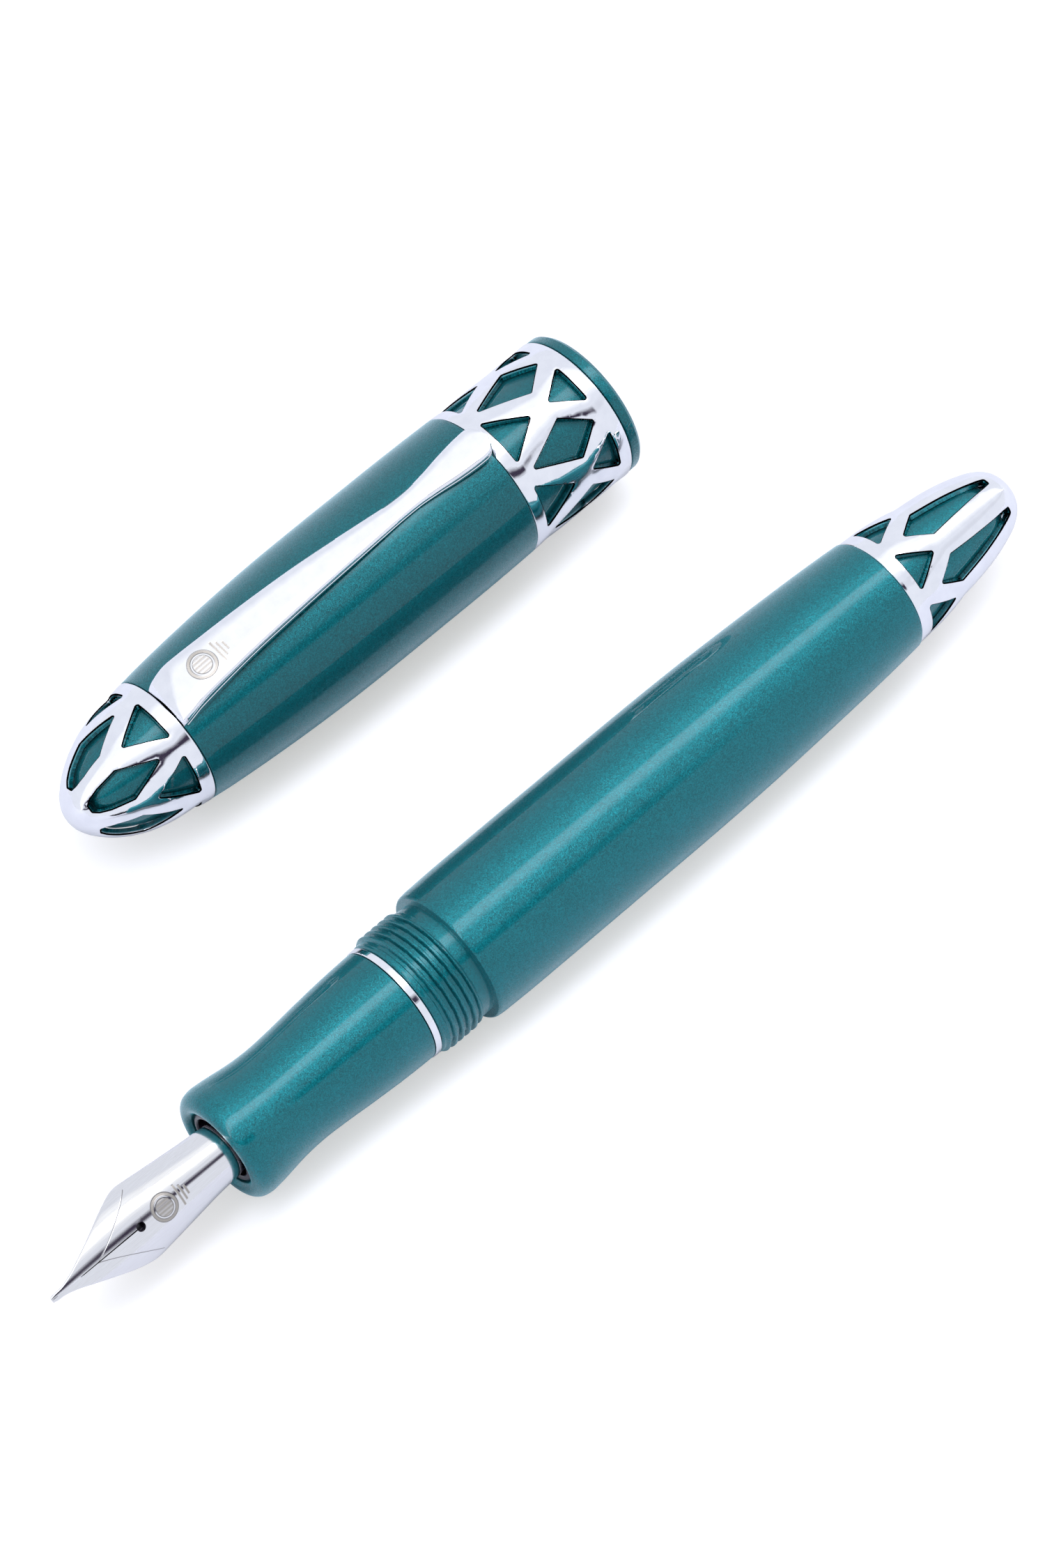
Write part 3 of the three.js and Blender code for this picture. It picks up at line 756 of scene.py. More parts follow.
def tail():
    skin = Skin(TAIL_EDGE + TAIL_OUTLINE)
    nose = skin.distance(144.2)
    rows = [nose + (skin.along[-1] - nose) * share for share in (0.12, 0.26, 0.4, 0.55, 0.7, 0.85, 1)]
    edge = [skin.distance(TAIL_JOINT + gap) for gap in (0.25, 0.16, 0.08, 0.03)]
    openwork(
        "tail_openwork", TAIL_EDGE + TAIL_OUTLINE,
        [(30, TAIL_TRIANGLE), (0, TAIL_LEAF)], TAIL_TURN,
        (TAIL_JOINT + 0.5, 144.2), edge, rows, PEN_AXIS, "barrel", ["tail_filigree"],
    )
    core = [(128.5, 6.04), (132.8, 5.6), (137.5, 4.9), (141, 4.0), (142.4, 2.9)]
    outline = [(119.4, 1.5), (119.4, 5.45), (TAIL_JOINT + 0.2, 5.45), (TAIL_JOINT + 0.2, 6.15)]
    outline += flowing(core, 0.6) + [(142.4, 1.5)]
    turned("tail_plug", outline, PEN_AXIS, "barrel", LACQUER, "teal_lacquer", ["tail_core"])


tail()


# ---- Grip section ----
# A waisted grip turned from the same lacquered stock, with a rolled mouth. A thin bright
# ring sits behind it, and a brass shank screws it into the sleeve in the barrel.

MOUTH = 25.6
MOUTH_RADIUS = 4.76
SECTION_END = 50.4
RING_RADIUS = 7.3
RING_WIDTH = 0.85


def turned_brass():
    material, tree, shader = finish("turned_brass", (0.72, 0.52, 0.24), 0.3, 1.0)
    rings = noise(tree, stretched(tree, object_place(tree), (9000, 60, 60)), 1)
    tone = ramp(tree, rings, [(0.3, (0.6, 0.41, 0.18)), (0.7, (0.8, 0.6, 0.3))])
    joined(tree, tone, shader.inputs["Base Color"])
    handled(tree, shader, 0.22, 0.4)
    bumped(tree, shader, rings, 0.00001)
    return material


BRASS = turned_brass()


def grip():
    mouth = flowing(
        [
            (MOUTH, MOUTH_RADIUS), (25.2, 5.15), (25.1, 5.7), (25.35, 6.35), (25.9, 6.82),
            (26.7, 7.03), (28.4, 6.97), (30, 6.78), (32, 6.53), (34.9, 6.39), (38, 6.52),
            (42, 6.82), (46.5, 7.09), (SECTION_END, 7.2),
        ],
        0.25,
    )
    outline = mouth + [(SECTION_END, 5.35), (44, 5.35), (43.6, MOUTH_RADIUS)]
    turned("grip", outline, PEN_AXIS, "section", LACQUER, "teal_lacquer", ["grip_section"])
    start, end = SECTION_END + 0.1, SECTION_END + 0.1 + RING_WIDTH
    band = [(start, 5.35), (start, 7.24), (start + 0.12, RING_RADIUS)]
    band += [(end - 0.12, RING_RADIUS), (end, 7.24), (end, 5.35)]
    turned("grip_ring", band, PEN_AXIS, "section", POLISHED, "chrome", ["section_ring"], edge=0.1)
    shank = [(44.2, 5.2), (61.5, 5.2), (61.5, 4.1), (44.2, 4.1)]
    turned("grip_shank", shank, PEN_AXIS, "section", BRASS, "brass", ["section_shank"])
    sleeve = [(52.2, 6.25), (62.2, 6.25), (62.2, 5.45), (52.2, 5.45)]
    turned("barrel_socket", sleeve, PEN_AXIS, "barrel", BRASS, "brass", ["barrel_sleeve"])


grip()


# ---- Nib, feed and housing ----
# A steel nib bent over a finned plastic feed, both pushed into a round plastic housing.
# The nib is slit from its breather hole to two welded balls of tipping.


def moulded_black():
    material, tree, shader = finish("moulded_black", (0.012, 0.008, 0.016), 0.22)
    handled(tree, shader, 0.12, 0.3, 500.0)
    orange_peel = noise(tree, object_place(tree), 1800)
    tones = [(0.3, (0.008, 0.006, 0.012)), (0.7, (0.022, 0.016, 0.03))]
    joined(tree, ramp(tree, orange_peel, tones), shader.inputs["Base Color"])
    bumped(tree, shader, orange_peel, 0.000012)
    return material


BLACK = moulded_black()
NIB_ROLL = math.radians(36)
BREATHER = 12.45
BREATHER_RADIUS = 0.54
NIB_THICKNESS = 0.3
LINE_START = 6.3
LINE_END = 13.7


def flat_place(tree, axis, roll):
    """Length and width in millimetres over a face that is rolled about its axis."""
    centre = (NIB_POINT, axis[0], axis[1])
    moved = {"Vector": vector(tree, "SUBTRACT", object_place(tree), centre), "Angle": -roll}
    level = new_node(tree, "ShaderNodeVectorRotate", moved, rotation_type="X_AXIS")
    grown = {0: level.outputs[0], "Scale": 1 / MM}
    return new_node(tree, "ShaderNodeVectorMath", grown, operation="SCALE").outputs[0]


def band_mask(tree, distance, width, soft=0.04):
    """One where a distance is under half the width, falling softly to nothing."""
    return spanned(tree, distance, width / 2 + soft, width / 2 - soft, kind="SMOOTHSTEP")


def apart(tree, value, centre):
    """How far a value is from a number."""
    return calc(tree, "ABSOLUTE", calc(tree, "SUBTRACT", value, centre))


def marked(tree, place, centre, size):
    """The ornament's etch and edge, set at a length along a flat face."""
    mark = placed(tree, ORNAMENT, Size=size)
    moved = vector(tree, "MULTIPLY_ADD", place, (1, 1, 0), (-centre, 0, 0))
    joined(tree, moved, mark.inputs["Place"])
    return mark.outputs["Etch"], mark.outputs["Edge"]


def etched_sun():
    """A plain etched ornament: a ruled disc in a ring, with three bars beside it."""
    inputs = [("Place", "NodeSocketVector", None), ("Size", "NodeSocketFloat", 2.0)]
    outputs = [("Etch", "NodeSocketFloat"), ("Edge", "NodeSocketFloat")]
    group, given, result = effect("etched_ornament", inputs, outputs)
    sizes = {label: given["Size"] for label in "XYZ"}
    size = new_node(group, "ShaderNodeCombineXYZ", sizes).outputs[0]
    axes = split(group, vector(group, "DIVIDE", given["Place"], size))
    x, y = axes["X"], axes["Y"]
    squares = [calc(group, "MULTIPLY", side, side) for side in (x, y)]
    reach = calc(group, "SQRT", calc(group, "ADD", *squares))
    disc = band_mask(group, reach, 1.3)
    waves = calc(group, "SINE", calc(group, "MULTIPLY", y, 22.0))
    ruled = calc(group, "MULTIPLY_ADD", waves, 0.5, 0.5)
    etch = calc(group, "MULTIPLY", disc, calc(group, "MULTIPLY_ADD", ruled, 0.45, 0.55))
    ring = band_mask(group, apart(group, reach, 0.92), 0.2)
    edge = 0.0
    for radius in (0.66, 0.81, 1.03):
        circle = band_mask(group, apart(group, reach, radius), 0.045)
        edge = calc(group, "MAXIMUM", edge, circle)
    etch = calc(group, "MAXIMUM", etch, ring)
    for number, half in enumerate((0.85, 0.6, 0.35)):
        across = band_mask(group, apart(group, x, 1.35 + 0.32 * number), 0.16)
        along = band_mask(group, calc(group, "ABSOLUTE", y), 2 * half)
        etch = calc(group, "MAXIMUM", etch, calc(group, "MULTIPLY", across, along))
    joined(group, etch, result["Etch"])
    joined(group, edge, result["Edge"])
    return group


ORNAMENT = etched_sun()
ETCHED = (0.44, 0.41, 0.37)
ETCH_LINE = (0.16, 0.15, 0.14)
ENGRAVED = (0.3, 0.29, 0.29)


def nib_steel():
    material, tree, shader = finish("nib_steel", (0.74, 0.74, 0.75), 0.12, 1.0)
    place = flat_place(tree, PEN_AXIS, NIB_ROLL)
    grain = noise(tree, stretched(tree, place, (0.5, 14, 14)), 1, 4)
    tone = ramp(tree, grain, [(0.3, (0.76, 0.755, 0.76)), (0.7, (0.82, 0.82, 0.83))])
    axes = split(tree, place)
    x, y = axes["X"], calc(tree, "ABSOLUTE", axes["Y"])
    run = calc(tree, "SUBTRACT", x, LINE_START)
    run = calc(tree, "DIVIDE", run, LINE_END - LINE_START, clamp=True)
    border = calc(tree, "MULTIPLY", calc(tree, "POWER", run, 1.15), 3.95)
    off = calc(tree, "ABSOLUTE", calc(tree, "SUBTRACT", y, border))
    line = band_mask(tree, off, 0.09)
    ahead = calc(tree, "GREATER_THAN", x, LINE_START)
    behind = calc(tree, "LESS_THAN", x, LINE_END)
    line = calc(tree, "MULTIPLY", line, calc(tree, "MULTIPLY", ahead, behind))
    etch, edge = marked(tree, place, 15.8, 1.55)
    for mask, metal in ((etch, ETCHED), (edge, ETCH_LINE), (line, ENGRAVED)):
        tone = tinted(tree, mask, tone, metal)
    joined(tree, tone, shader.inputs["Base Color"])
    touch = placed(tree, HANDLING, Least=0.07, Most=0.14, Scale=320.0)
    rough = calc(tree, "MULTIPLY_ADD", etch, 0.35, touch.outputs["Roughness"])
    joined(tree, rough, shader.inputs["Roughness"])
    cut = calc(tree, "MULTIPLY", calc(tree, "MAXIMUM", etch, line), -0.6)
    bumped(tree, shader, calc(tree, "MULTIPLY_ADD", grain, 0.05, cut), 0.00003)
    return material


STEEL = nib_steel()


def rolled(points, axis, roll):
    """Points drawn with their face up, rolled about the axis and set in the frame."""
    p = np.asarray(points, float)
    x, y, z = p[..., 0], p[..., 1], p[..., 2]
    turn = -np.arctan2(y, z) + roll
    return spots(axis, x, np.hypot(y, z), turn)


def lofted(rings):
    """Faces that join closed rings of points and close both ends with a fan."""
    rings = [np.asarray(ring, float) for ring in rings]
    count = len(rings[0])
    points = np.concatenate([*rings, [rings[0].mean(0)], [rings[-1].mean(0)]])
    faces = []
    for i in range(len(rings) - 1):
        for j in range(count):
            k = (j + 1) % count
            faces.append((i * count + j, i * count + k, (i + 1) * count + k, (i + 1) * count + j))
    last = (len(rings) - 1) * count
    for j in range(count):
        k = (j + 1) % count
        faces.append((len(points) - 2, k, j))
        faces.append((len(points) - 1, last + j, last + k))
    return points, faces


NIB_STATIONS = [
    (0.0, 0.34, 3.2, 2.98),
    (0.5, 0.44, 3.3, 3.03),
    (1.5, 0.52, 3.4, 3.07),
    (3.1, 0.96, 4.0, 3.15),
    (4.7, 1.62, 4.6, 3.21),
    (6.3, 2.29, 5.0, 3.26),
    (7.9, 2.98, 5.2, 3.3),
    (9.6, 3.67, 5.3, 3.33),
    (11.4, 4.27, 5.3, 3.36),
    (12.4, 4.51, 5.25, 3.37),
    (13.1, 4.57, 5.15, 3.38),
    (14.7, 4.44, 4.85, 3.39),
    (16.5, 4.24, 4.55, 3.41),
    (19.3, 3.93, 4.1, 3.42),
    (22.4, 3.6, 3.65, 3.43),
    (25.0, 3.41, 3.45, 3.44),
    (35.0, 3.41, 3.45, 3.44),
]


def smooth_stations(stations, xs):
    """Each column of the stations as a smooth curve, read at the given lengths."""
    table = np.array(stations, float)
    columns = []
    for column in table.T[1:]:
        curve = np.array(flowing(list(zip(table[:, 0], column)), 0.05))
        columns.append(np.interp(xs, curve[:, 0], curve[:, 1]))
    return columns


def nib_blade():
    round_hole = BREATHER - BREATHER_RADIUS * np.cos(np.linspace(0, math.pi, 25))
    xs = np.r_[np.arange(0, 11.8, 0.2), round_hole, np.arange(13.1, 35.01, 0.35)]
    xs = np.unique(np.round(xs, 5))
    half, bend, ridge = smooth_stations(NIB_STATIONS, xs)
    slit = np.interp(xs, [0, 5.5, BREATHER], [0.035, 0.05, 0.075])
    in_hole = np.abs(xs - BREATHER) <= BREATHER_RADIUS
    hole = np.sqrt(np.maximum(BREATHER_RADIUS**2 - (xs - BREATHER) ** 2, 0))
    gap = np.where(in_hole, np.maximum(hole, np.where(xs < BREATHER, slit, 0)), slit)
    gap = np.where(xs > BREATHER + BREATHER_RADIUS - 1e-4, 0, gap)
    edge = NIB_THICKNESS / 2
    rows = []
    for x, w, r, z, inner in zip(xs, half, bend, ridge, gap):
        a0 = math.asin(min(inner / r, 0.99))
        a1 = math.asin(min(w / r, 0.99)) - edge / r
        angles = np.linspace(a0, max(a1, a0 + 0.01), 16)
        top = [(r, a) for a in angles]
        nose = [
            (r - edge + edge * math.cos(q), angles[-1] + edge * math.sin(q) / r)
            for q in np.linspace(0, math.pi, 7)[1:-1]
        ]
        under = [(r - NIB_THICKNESS, a) for a in angles[::-1]]
        rows.append([(x, q * math.sin(a), z - r + q * math.cos(a)) for q, a in top + nose + under])
    rows = np.array(rows)
    count = rows.shape[1]
    points, faces = [], []
    for hand in (1, -1):
        base = len(points) * rows.shape[0] * count
        points.append(rolled(rows * (1, hand, 1), PEN_AXIS, NIB_ROLL).reshape(-1, 3))
        made = []
        for i in range(len(xs) - 1):
            for j in range(count):
                closes = j == count - 1
                if closes and gap[i] == 0 and gap[i + 1] == 0:
                    continue
                k = (j + 1) % count
                made.append((i * count + j, i * count + k, (i + 1) * count + k, (i + 1) * count + j))
        tail = (len(xs) - 1) * count
        for start, flip in ((0, False), (tail, True)):
            for j in range(count // 2 - 1):
                quad = (start + j, start + count - 1 - j, start + count - 2 - j, start + j + 1)
                made.append(quad[::-1] if flip else quad)
        for face in made:
            face = tuple(i + base for i in face)
            faces.append(face if hand > 0 else face[::-1])
    points, faces, _ = merged(np.concatenate(points), faces)
    mesh_piece("nib_blade", points, faces, "nib_unit", STEEL, ["nib"])


def nib_point():
    """Two half balls of hard tipping, one on each tine, ground flat in between."""
    rings = []
    for hand in (1, -1):
        rings.append([])
        for q in np.linspace(0.03, math.pi - 0.03, 15):
            ring = []
            for a in np.linspace(0, math.pi, 13):
                y = 0.3 * math.sin(q) * math.sin(a) + 0.02
                z = 0.2 * math.sin(q) * math.cos(a)
                ring.append((0.5 - 0.42 * math.cos(q), hand * y, 2.46 + z))
            rings[-1].append(rolled(ring, PEN_AXIS, NIB_ROLL))
    for side, ring in zip(("near", "far"), rings):
        points, faces = lofted(ring)
        if side == "far":
            faces = [face[::-1] for face in faces]
        nodes = ["nib_tipping"]
        mesh_piece(f"tipping_{side}", points, faces, "nib_unit", STEEL, nodes)


def feed_comb():
    """A half-round feed with a channel along its top and a comb of fins below."""
    stations = [
        (4.6, 0.7, 0.75, 2.66),
        (7.0, 1.15, 1.35, 2.72),
        (10.0, 1.75, 2.1, 2.78),
        (14.0, 2.1, 2.55, 2.84),
        (20.0, 2.2, 2.8, 2.86),
        (26.0, 2.2, 2.88, 2.86),
        (37.5, 2.2, 2.88, 2.86),
    ]
    cuts = [14 + 1.2 * i + side for i in range(8) for side in (0, 0.001, 0.55, 0.551)]
    xs = np.unique(np.r_[np.linspace(4.6, 37.5, 80), cuts])
    half, radius, top = smooth_stations(stations, xs)
    rings = []
    for x, w, r, z in zip(xs, half, radius, top):
        groove = 14 <= x < 23.2 and 0.0005 < (x - 14) % 1.2 < 0.5505
        centre = min(0, z - 0.2 - r) + max(0, z - 0.9 - r)
        ring = [(x, -0.3, z - 0.06), (x, -0.28, z - 0.6), (x, 0.28, z - 0.6), (x, 0.3, z - 0.06)]
        ring.append((x, w * 0.5, z - 0.06))
        for a in np.radians(np.linspace(42, -222, 33)):
            reach = min(r, 1.75) if groove and math.sin(a) * r + centre < 0.9 else r
            ring.append((x, reach * math.cos(a), centre + reach * math.sin(a)))
        ring.append((x, -w * 0.5, z - 0.06))
        rings.append(rolled(ring, PEN_AXIS, NIB_ROLL))
    points, faces = lofted(rings)
    mesh_piece("feed_comb", points, faces, "nib_unit", BLACK, ["feed"])


def housing():
    outline = [
        (25.78, 3.85), (25.62, 4.0), (25.62, 4.3), (25.78, 4.58), (43.4, 4.58), (43.9, 3.95),
        (46, 3.95), (46, 1.65), (51, 1.65), (51.6, 1.3), (51.6, 0.8), (38.4, 0.8), (38.4, 3.75),
    ]
    turned(
        "nib_collar", outline, PEN_AXIS, "nib_unit", BLACK, "black_plastic",
        ["nib_housing"], edge=0.15,
    )


nib_blade()
nib_point()
feed_comb()
housing()


# ---- Filler ----
# A piston filler pushed on to the housing's nipple: a clear tube in a bright collar, with
# a rubber piston on a steel rod that a knurled plastic knob screws up and down.


def clear_tube():
    glass = {"Transmission Weight": 0.95, "IOR": 1.49}
    material, tree, shader = finish("clear_tube", (0.9, 0.93, 0.95), 0.06, 0.0, glass)
    handled(tree, shader, 0.04, 0.14)
    return material


CLEAR = clear_tube()
KNOB_RADIUS = 3.2
KNURLS = 36


def knob_relief(x, radius, turn):
    """Fine straight knurling on the knob's grip."""
    grip_zone = (x > 92) & (x < 106.8) & (radius > KNOB_RADIUS - 0.05)
    return np.where(grip_zone, -0.12 * (0.5 + 0.5 * np.cos(KNURLS * turn)), 0)


def filler():
    mouth = [(46.6, 1.95), (46.6, 3.3), (52.8, 3.3), (53.1, 3.4), (54.6, 3.4), (54.6, 1.2)]
    mouth += [(53, 1.2), (52.6, 1.95)]
    tube = [(54.7, 3.45), (86, 3.45), (86, 2.85), (54.7, 2.85)]
    collar = [(74, 3.85), (90.2, 3.85), (90.2, 2.4), (88.6, 2.4), (88.6, 3.55), (74, 3.55)]
    piston = [(80, 0), (80.6, 2.2), (81, 2.7), (81.8, 2.7), (82, 2.3), (83, 2.3), (83.2, 2.7)]
    piston += [(84, 2.7), (84, 0)]
    rod = [(84.1, 0), (84.1, 1), (106, 1), (106, 0)]
    grip_rows = [(x, KNOB_RADIUS) for x in np.arange(106.8, 91.9, -0.3)]
    knob = [(108, 0), (108, 2.8), (107.6, KNOB_RADIUS), *grip_rows, (90.5, KNOB_RADIUS)]
    knob += [(90.5, 2.1), (87.6, 2.1), (87.6, 2.6), (86.4, 2.6), (86.4, 1.35), (106.8, 1.35)]
    knob += [(106.8, 0)]
    screw = [(116.4, 0), (116.4, 2.6), (118.9, 2.6), (119.2, 1.35), (143.9, 1.35), (143.9, 0)]
    black = (BLACK, "black_plastic")
    turned("filler_socket", mouth, PEN_AXIS, "filler", *black, ["filler_mouth"])
    turned("filler_glass", tube, PEN_AXIS, "filler", CLEAR, "clear_plastic", ["filler_tube"])
    turned("filler_band", collar, PEN_AXIS, "filler", POLISHED, "chrome", ["filler_collar"])
    turned("piston_seal", piston, PEN_AXIS, "piston", *black, ["filler_piston"])
    turned("piston_rod", rod, PEN_AXIS, "piston", STEEL, "steel", ["filler_rod"])
    turned("filler_grip", knob, PEN_AXIS, "knob", *black, ["filler_knob"], knob_relief)
    turned("tail_bolt", screw, PEN_AXIS, "barrel", STEEL, "steel", ["tail_screw"])


filler()


# ---- Cap ----
# A lacquered tube that swells towards its mouth, with a black liner and a brass thread in
# it. An openwork dome is bolted to its end, and an openwork band is let in near the lip.

# The cap's lacquer is the barrel's lacquer with its flake colours darkened: painted shade for the cap,
# which gets less light than the barrel.
CAP_SHADED_LACQUER = teal_lacquer("cap_lacquer_painted_shade", 0.82)
CAP_AXIS = axis_of("cap_lip_ring")
CAP_ROLL = 2.5
DOME_END = 54.64
BAND_START = 102.6
BAND_END = 117.4
BAND_RADIUS = 9.44
CAP_END = 119.1
BAND_TURN = CAP_ROLL + 5.5
DOME_OUTLINE = flowing(
    [
        (40.11, 0.0), (40.36, 1.5), (41.1, 2.74), (42.3, 4.04), (44.0, 5.29), (46.2, 6.41),
        (48.6, 7.19), (51.2, 7.71), (DOME_END - 0.18, 8.12),
    ],
    0.1,
)
DOME_EDGE = [(DOME_END - 0.1, 8.1), (DOME_END - 0.04, 8.05), (DOME_END, 7.96)]
DOME_TRIANGLE = [(52.8, 0), (52.8, 20.5), (48.1, 0)]
DOME_LEAF = [(50.5, 0), (45.9, 18), (43.4, 16.5), (42.3, 13), (41.75, 7), (41.75, 0)]
LIP_FRONT = [(104.25, 0), (104.25, 19.5), (109.05, 0)]
LIP_REAR = [(115.6, 0), (115.6, 16), (111.9, 0)]
LIP_DIAMOND = [(105.3, 0), (111.3, 16.5), (114.7, 0)]


def dome():
    profile = DOME_OUTLINE + DOME_EDGE
    skin = Skin(profile)
    nose = skin.distance(41.25)
    tip = [nose * share for share in (0.85, 0.7, 0.55, 0.4, 0.26, 0.12, 0)]
    edge = [skin.distance(DOME_END - gap) for gap in (0.18, 0.1, 0.04, 0)]
    openwork(
        "dome_openwork", profile, [(0, DOME_TRIANGLE), (30, DOME_LEAF)], CAP_ROLL,
        (41.25, DOME_END - 0.4), tip, edge, CAP_AXIS, "cap", ["cap_dome_filigree"],
    )
    core = flowing(
        [(42.7, 2.5), (43.3, 3.4), (44.75, 4.5), (46.7, 5.45), (48.9, 6.2), (51.4, 6.7), (DOME_END, 7.1)],
        0.4,
    )
    outline = [(42.7, 1.5), *core, (DOME_END, 1.5)]
    turned("dome_plug", outline, CAP_AXIS, "cap", CAP_SHADED_LACQUER, "teal_lacquer", ["cap_dome_core"])


def cap_groove(x, radius, turn):
    """The thread cut inside the lip, which takes the barrel's neck."""
    phase = x / PITCH - turn / (2 * math.pi)
    cut = 0.5 + 0.5 * np.cos(2 * math.pi * phase)
    inside = (radius < 7.6) & (x > 109.2) & (x < CAP_END - 0.3)
    return np.where(inside, 0.3 * cut, 0)


def cap_tube():
    skin = flowing(
        [
            (DOME_END + 0.1, 8.13), (56.5, 8.35), (60, 8.68), (64, 8.98), (69, 9.27), (75, 9.5),
            (82, 9.585), (88, 9.59), (95, 9.585), (BAND_START - 0.1, 9.46),
        ],
        0.6,
    )
    outline = [(DOME_END + 0.1, 1.6), *skin, (BAND_START - 0.1, 8.5), (BAND_END + 0.1, 8.5)]
    outline += [(BAND_END + 0.1, 8.05), (60.5, 8.05), (58.6, 7.3), (58.4, 1.6)]
    turned("cap_tube", outline, CAP_AXIS, "cap", CAP_SHADED_LACQUER, "teal_lacquer", ["cap_body"], edge=0.12)
    start = BAND_END + 0.12
    lip = [(start, 8.2), (start, 9.35), (CAP_END - 0.45, 9.32), (CAP_END, 8.95), (CAP_END, 8.2)]
    turned("cap_lip", lip, CAP_AXIS, "cap", CAP_SHADED_LACQUER, "teal_lacquer", ["cap_lip_ring"], edge=0.2)
    end = CAP_END - 0.15
    bore = [(x, 7.45) for x in np.arange(end, 109, -0.12)]
    thread = [(109, 7.95), (end, 7.95), *bore, (109, 7.45)]
    turned("cap_thread", thread, CAP_AXIS, "cap", BRASS, "brass", ["cap_thread_insert"], cap_groove)
    liner = [(60.8, 0), (60.8, 7.2), (62, 7.85), (90, 7.85), (90, 7.35), (62.2, 7.35), (62.2, 0)]
    turned("cap_lining", liner, CAP_AXIS, "cap", BLACK, "black_plastic", ["cap_liner"])
    bolt = [(41.8, 0), (41.8, 1.3), (58.7, 1.3), (58.7, 3), (60.5, 3), (60.5, 0)]
    turned("cap_bolt", bolt, CAP_AXIS, "cap", STEEL, "steel", ["cap_screw"])


def band():
    profile = [(BAND_START, BAND_RADIUS - 0.14), (BAND_START + 0.04, BAND_RADIUS - 0.05)]
    profile += [(BAND_START + 0.14, BAND_RADIUS), (BAND_START + 2, BAND_RADIUS)]
    profile += [(BAND_END - 2, BAND_RADIUS), (BAND_END - 0.2, BAND_RADIUS)]
    profile += [(BAND_END - 0.06, BAND_RADIUS - 0.05), (BAND_END, BAND_RADIUS - 0.16)]
    skin = Skin(profile)
    front = [skin.distance(BAND_START + gap) for gap in (0.14, 0.04, 0)]
    rear = [skin.distance(BAND_END - gap) for gap in (0.2, 0.06, 0)]
    openwork(
        "lip_openwork", profile, [(0, LIP_FRONT), (0, LIP_REAR), (30, LIP_DIAMOND)], BAND_TURN,
        (BAND_START + 0.4, BAND_END - 0.4), front, rear, CAP_AXIS, "cap", ["cap_lip_filigree"],
    )


dome()
cap_tube()
band()


# ---- Clip ----
# A sprung metal blade let into the cap's end and held under the dome's ring. It rises in
# front, narrows at its waist where it nearly touches the cap, and flicks up at its end.

CLIP_BEVEL = 0.3
CLIP_GROOVE = 0.09
CLIP_START = 54.72
CLIP_STATIONS = [
    (CLIP_START, 2.98, 8.42, 8.2, 7.2),
    (55.1, 3.1, 8.95, 8.36, 7.4),
    (56.0, 3.17, 9.75, 8.5, 7.7),
    (57.4, 3.14, 10.45, 8.64, 8.05),
    (59.0, 3.04, 10.78, 9.1, 8.38),
    (62.0, 2.87, 11.08, 9.6, 9.2),
    (66.0, 2.65, 11.42, 10.05, 9.9),
    (71.0, 2.41, 11.57, 10.25, 10.2),
    (76.0, 2.15, 11.52, 10.3, 10.28),
    (81.0, 1.84, 11.22, 10.15, 10.12),
    (86.0, 1.49, 10.83, 9.9, 9.9),
    (89.5, 1.27, 10.58, 9.73, 9.71),
    (92.0, 1.26, 10.58, 9.7, 9.68),
    (94.5, 1.49, 10.73, 9.7, 9.66),
    (97.5, 1.89, 10.98, 9.78, 9.7),
    (100.5, 2.13, 11.27, 9.92, 9.84),
    (102.0, 2.13, 11.4, 9.98, 9.9),
    (102.94, 2.1, 11.42, 10.1, 10.02),
]


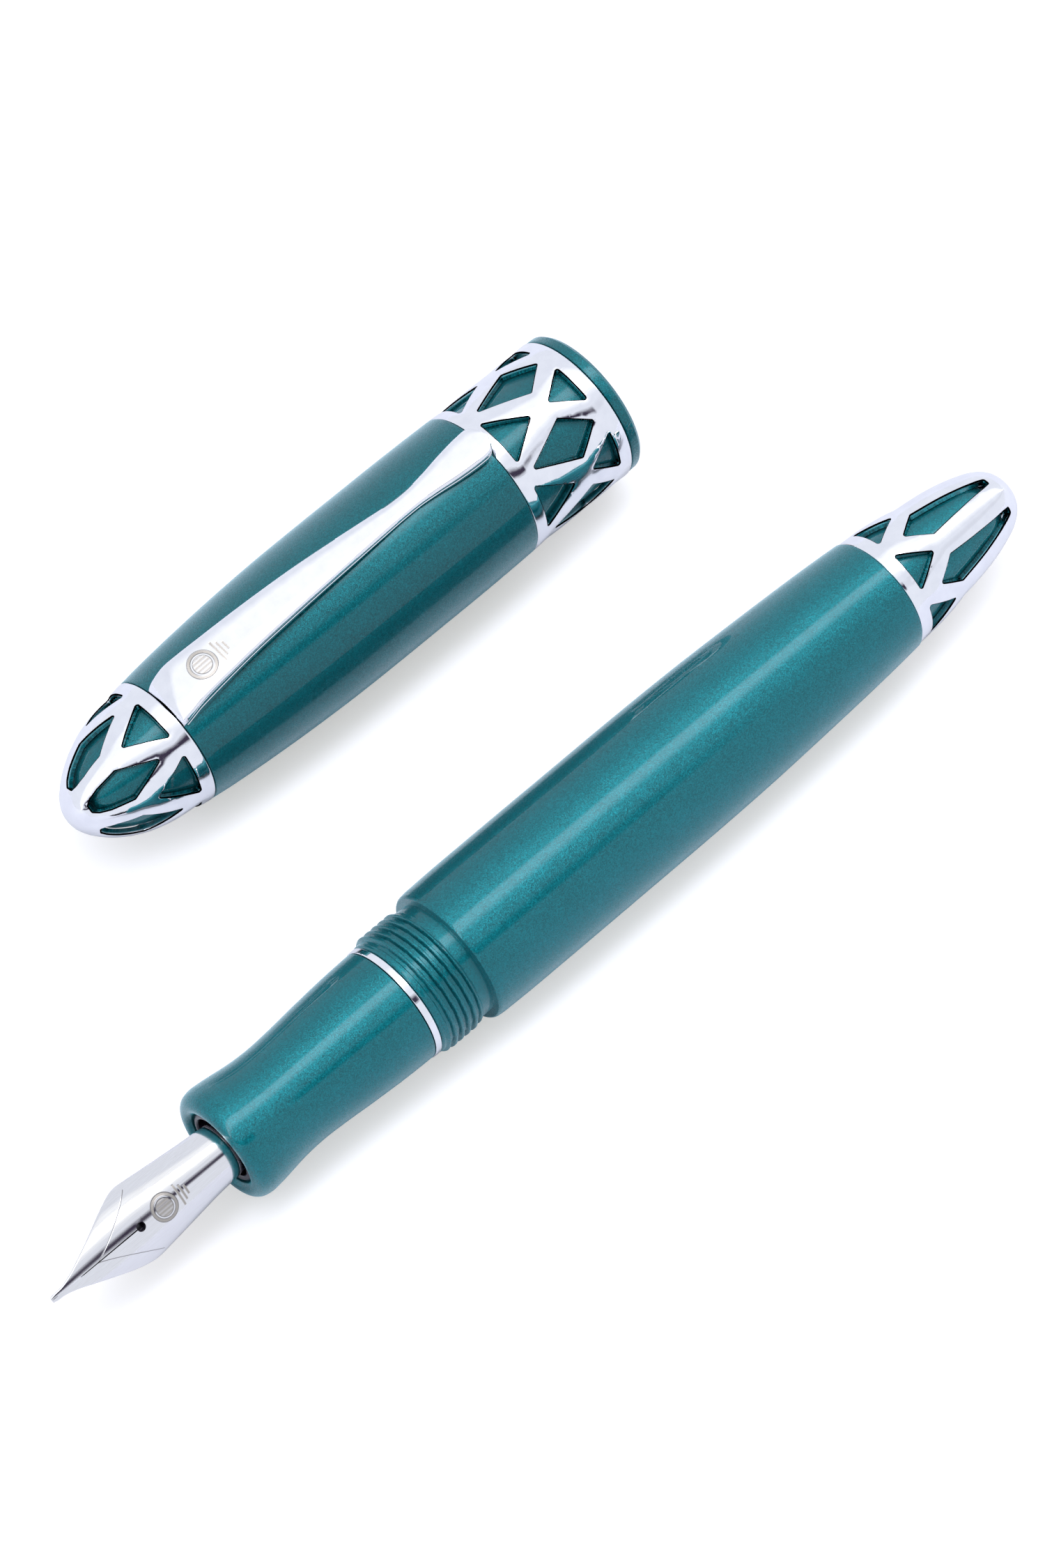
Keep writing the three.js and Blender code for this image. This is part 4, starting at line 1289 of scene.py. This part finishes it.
def clip_metal():
    material, tree, shader = finish("clip_metal", (0.88, 0.89, 0.92), 0.05, 1.0)
    place = flat_place(tree, CAP_AXIS, math.radians(CAP_ROLL))
    mark = marked(tree, place, 60.2, 1.7)
    cast = noise(tree, place, 0.7)
    on_top = calc(tree, "GREATER_THAN", split(tree, place)["Z"], 10.4)
    etch, edge = [calc(tree, "MULTIPLY", mask, on_top) for mask in mark]
    tone = tinted(tree, etch, ramp(tree, cast, CAST_TONES), ETCHED)
    joined(tree, tinted(tree, edge, tone, ETCH_LINE), shader.inputs["Base Color"])
    touch = placed(tree, HANDLING, Least=POLISH_LEAST, Most=POLISH_MOST, Scale=240.0)
    rough = calc(tree, "MULTIPLY_ADD", etch, 0.35, touch.outputs["Roughness"])
    joined(tree, rough, shader.inputs["Roughness"])
    height = calc(tree, "MULTIPLY_ADD", etch, -0.5, calc(tree, "MULTIPLY", cast, 0.2))
    bumped(tree, shader, height, 0.00002)
    return material


def clip():
    round_end = 102.94 - 1.9 * (1 - np.sin(np.linspace(0.1, 1.54, 14)))
    xs = np.r_[CLIP_START, 54.85, 55.0, 55.2, 55.45, 55.7, np.arange(56, 101.2, 0.3), round_end]
    xs = np.unique(np.round(xs, 4))
    half, top, middle, edge = smooth_stations(CLIP_STATIONS, xs)
    closing = np.clip((xs - 101.2) / 1.76, 0, 1)
    half = half * np.sqrt(np.maximum(1 - closing**2.4, 0.03))
    arch = np.clip((57.0 - xs) / (57.0 - CLIP_START), 0, 1)
    rings = []
    for x, w, t, m, e, a in zip(xs, half, top, middle, edge, arch):
        bevel = min(CLIP_BEVEL, 0.4 * w)
        soft = 0.05
        cut = CLIP_GROOVE * min(1, w)
        waist = e + 0.52 * (t - bevel - e)
        side = [
            (w - 0.04, e), (w, e + 0.05), (w, waist - 0.09), (w - cut, waist - 0.02),
            (w - cut, waist + 0.03), (w - 0.02, waist + 0.09), (w - 0.02, t - bevel - soft),
            (w - 0.05, t - bevel + soft * 0.5), (w - bevel + soft * 0.5, t - soft * 0.4),
            (w - bevel - soft, t + 0.005), (w * 0.3, t + 0.03),
        ]
        drop = [a * (8.3 - math.sqrt(8.3**2 - y * y)) for y, _ in side]
        side = [(y, max(z - fall, e + 0.01 * k)) for k, ((y, z), fall) in enumerate(zip(side, drop))]
        ring = [(x, y, z) for y, z in side] + [(x, 0, t + 0.045)]
        ring += [(x, -y, z) for y, z in side[::-1]]
        ring += [(x, -w * 0.5, m * 0.7 + e * 0.3), (x, 0, m), (x, w * 0.5, m * 0.7 + e * 0.3)]
        rings.append(rolled(ring, CAP_AXIS, math.radians(CAP_ROLL)))
    points, faces = lofted(rings)
    mesh_piece("clip_blade", points, faces, "clip", clip_metal(), ["clip"], 30)


clip()
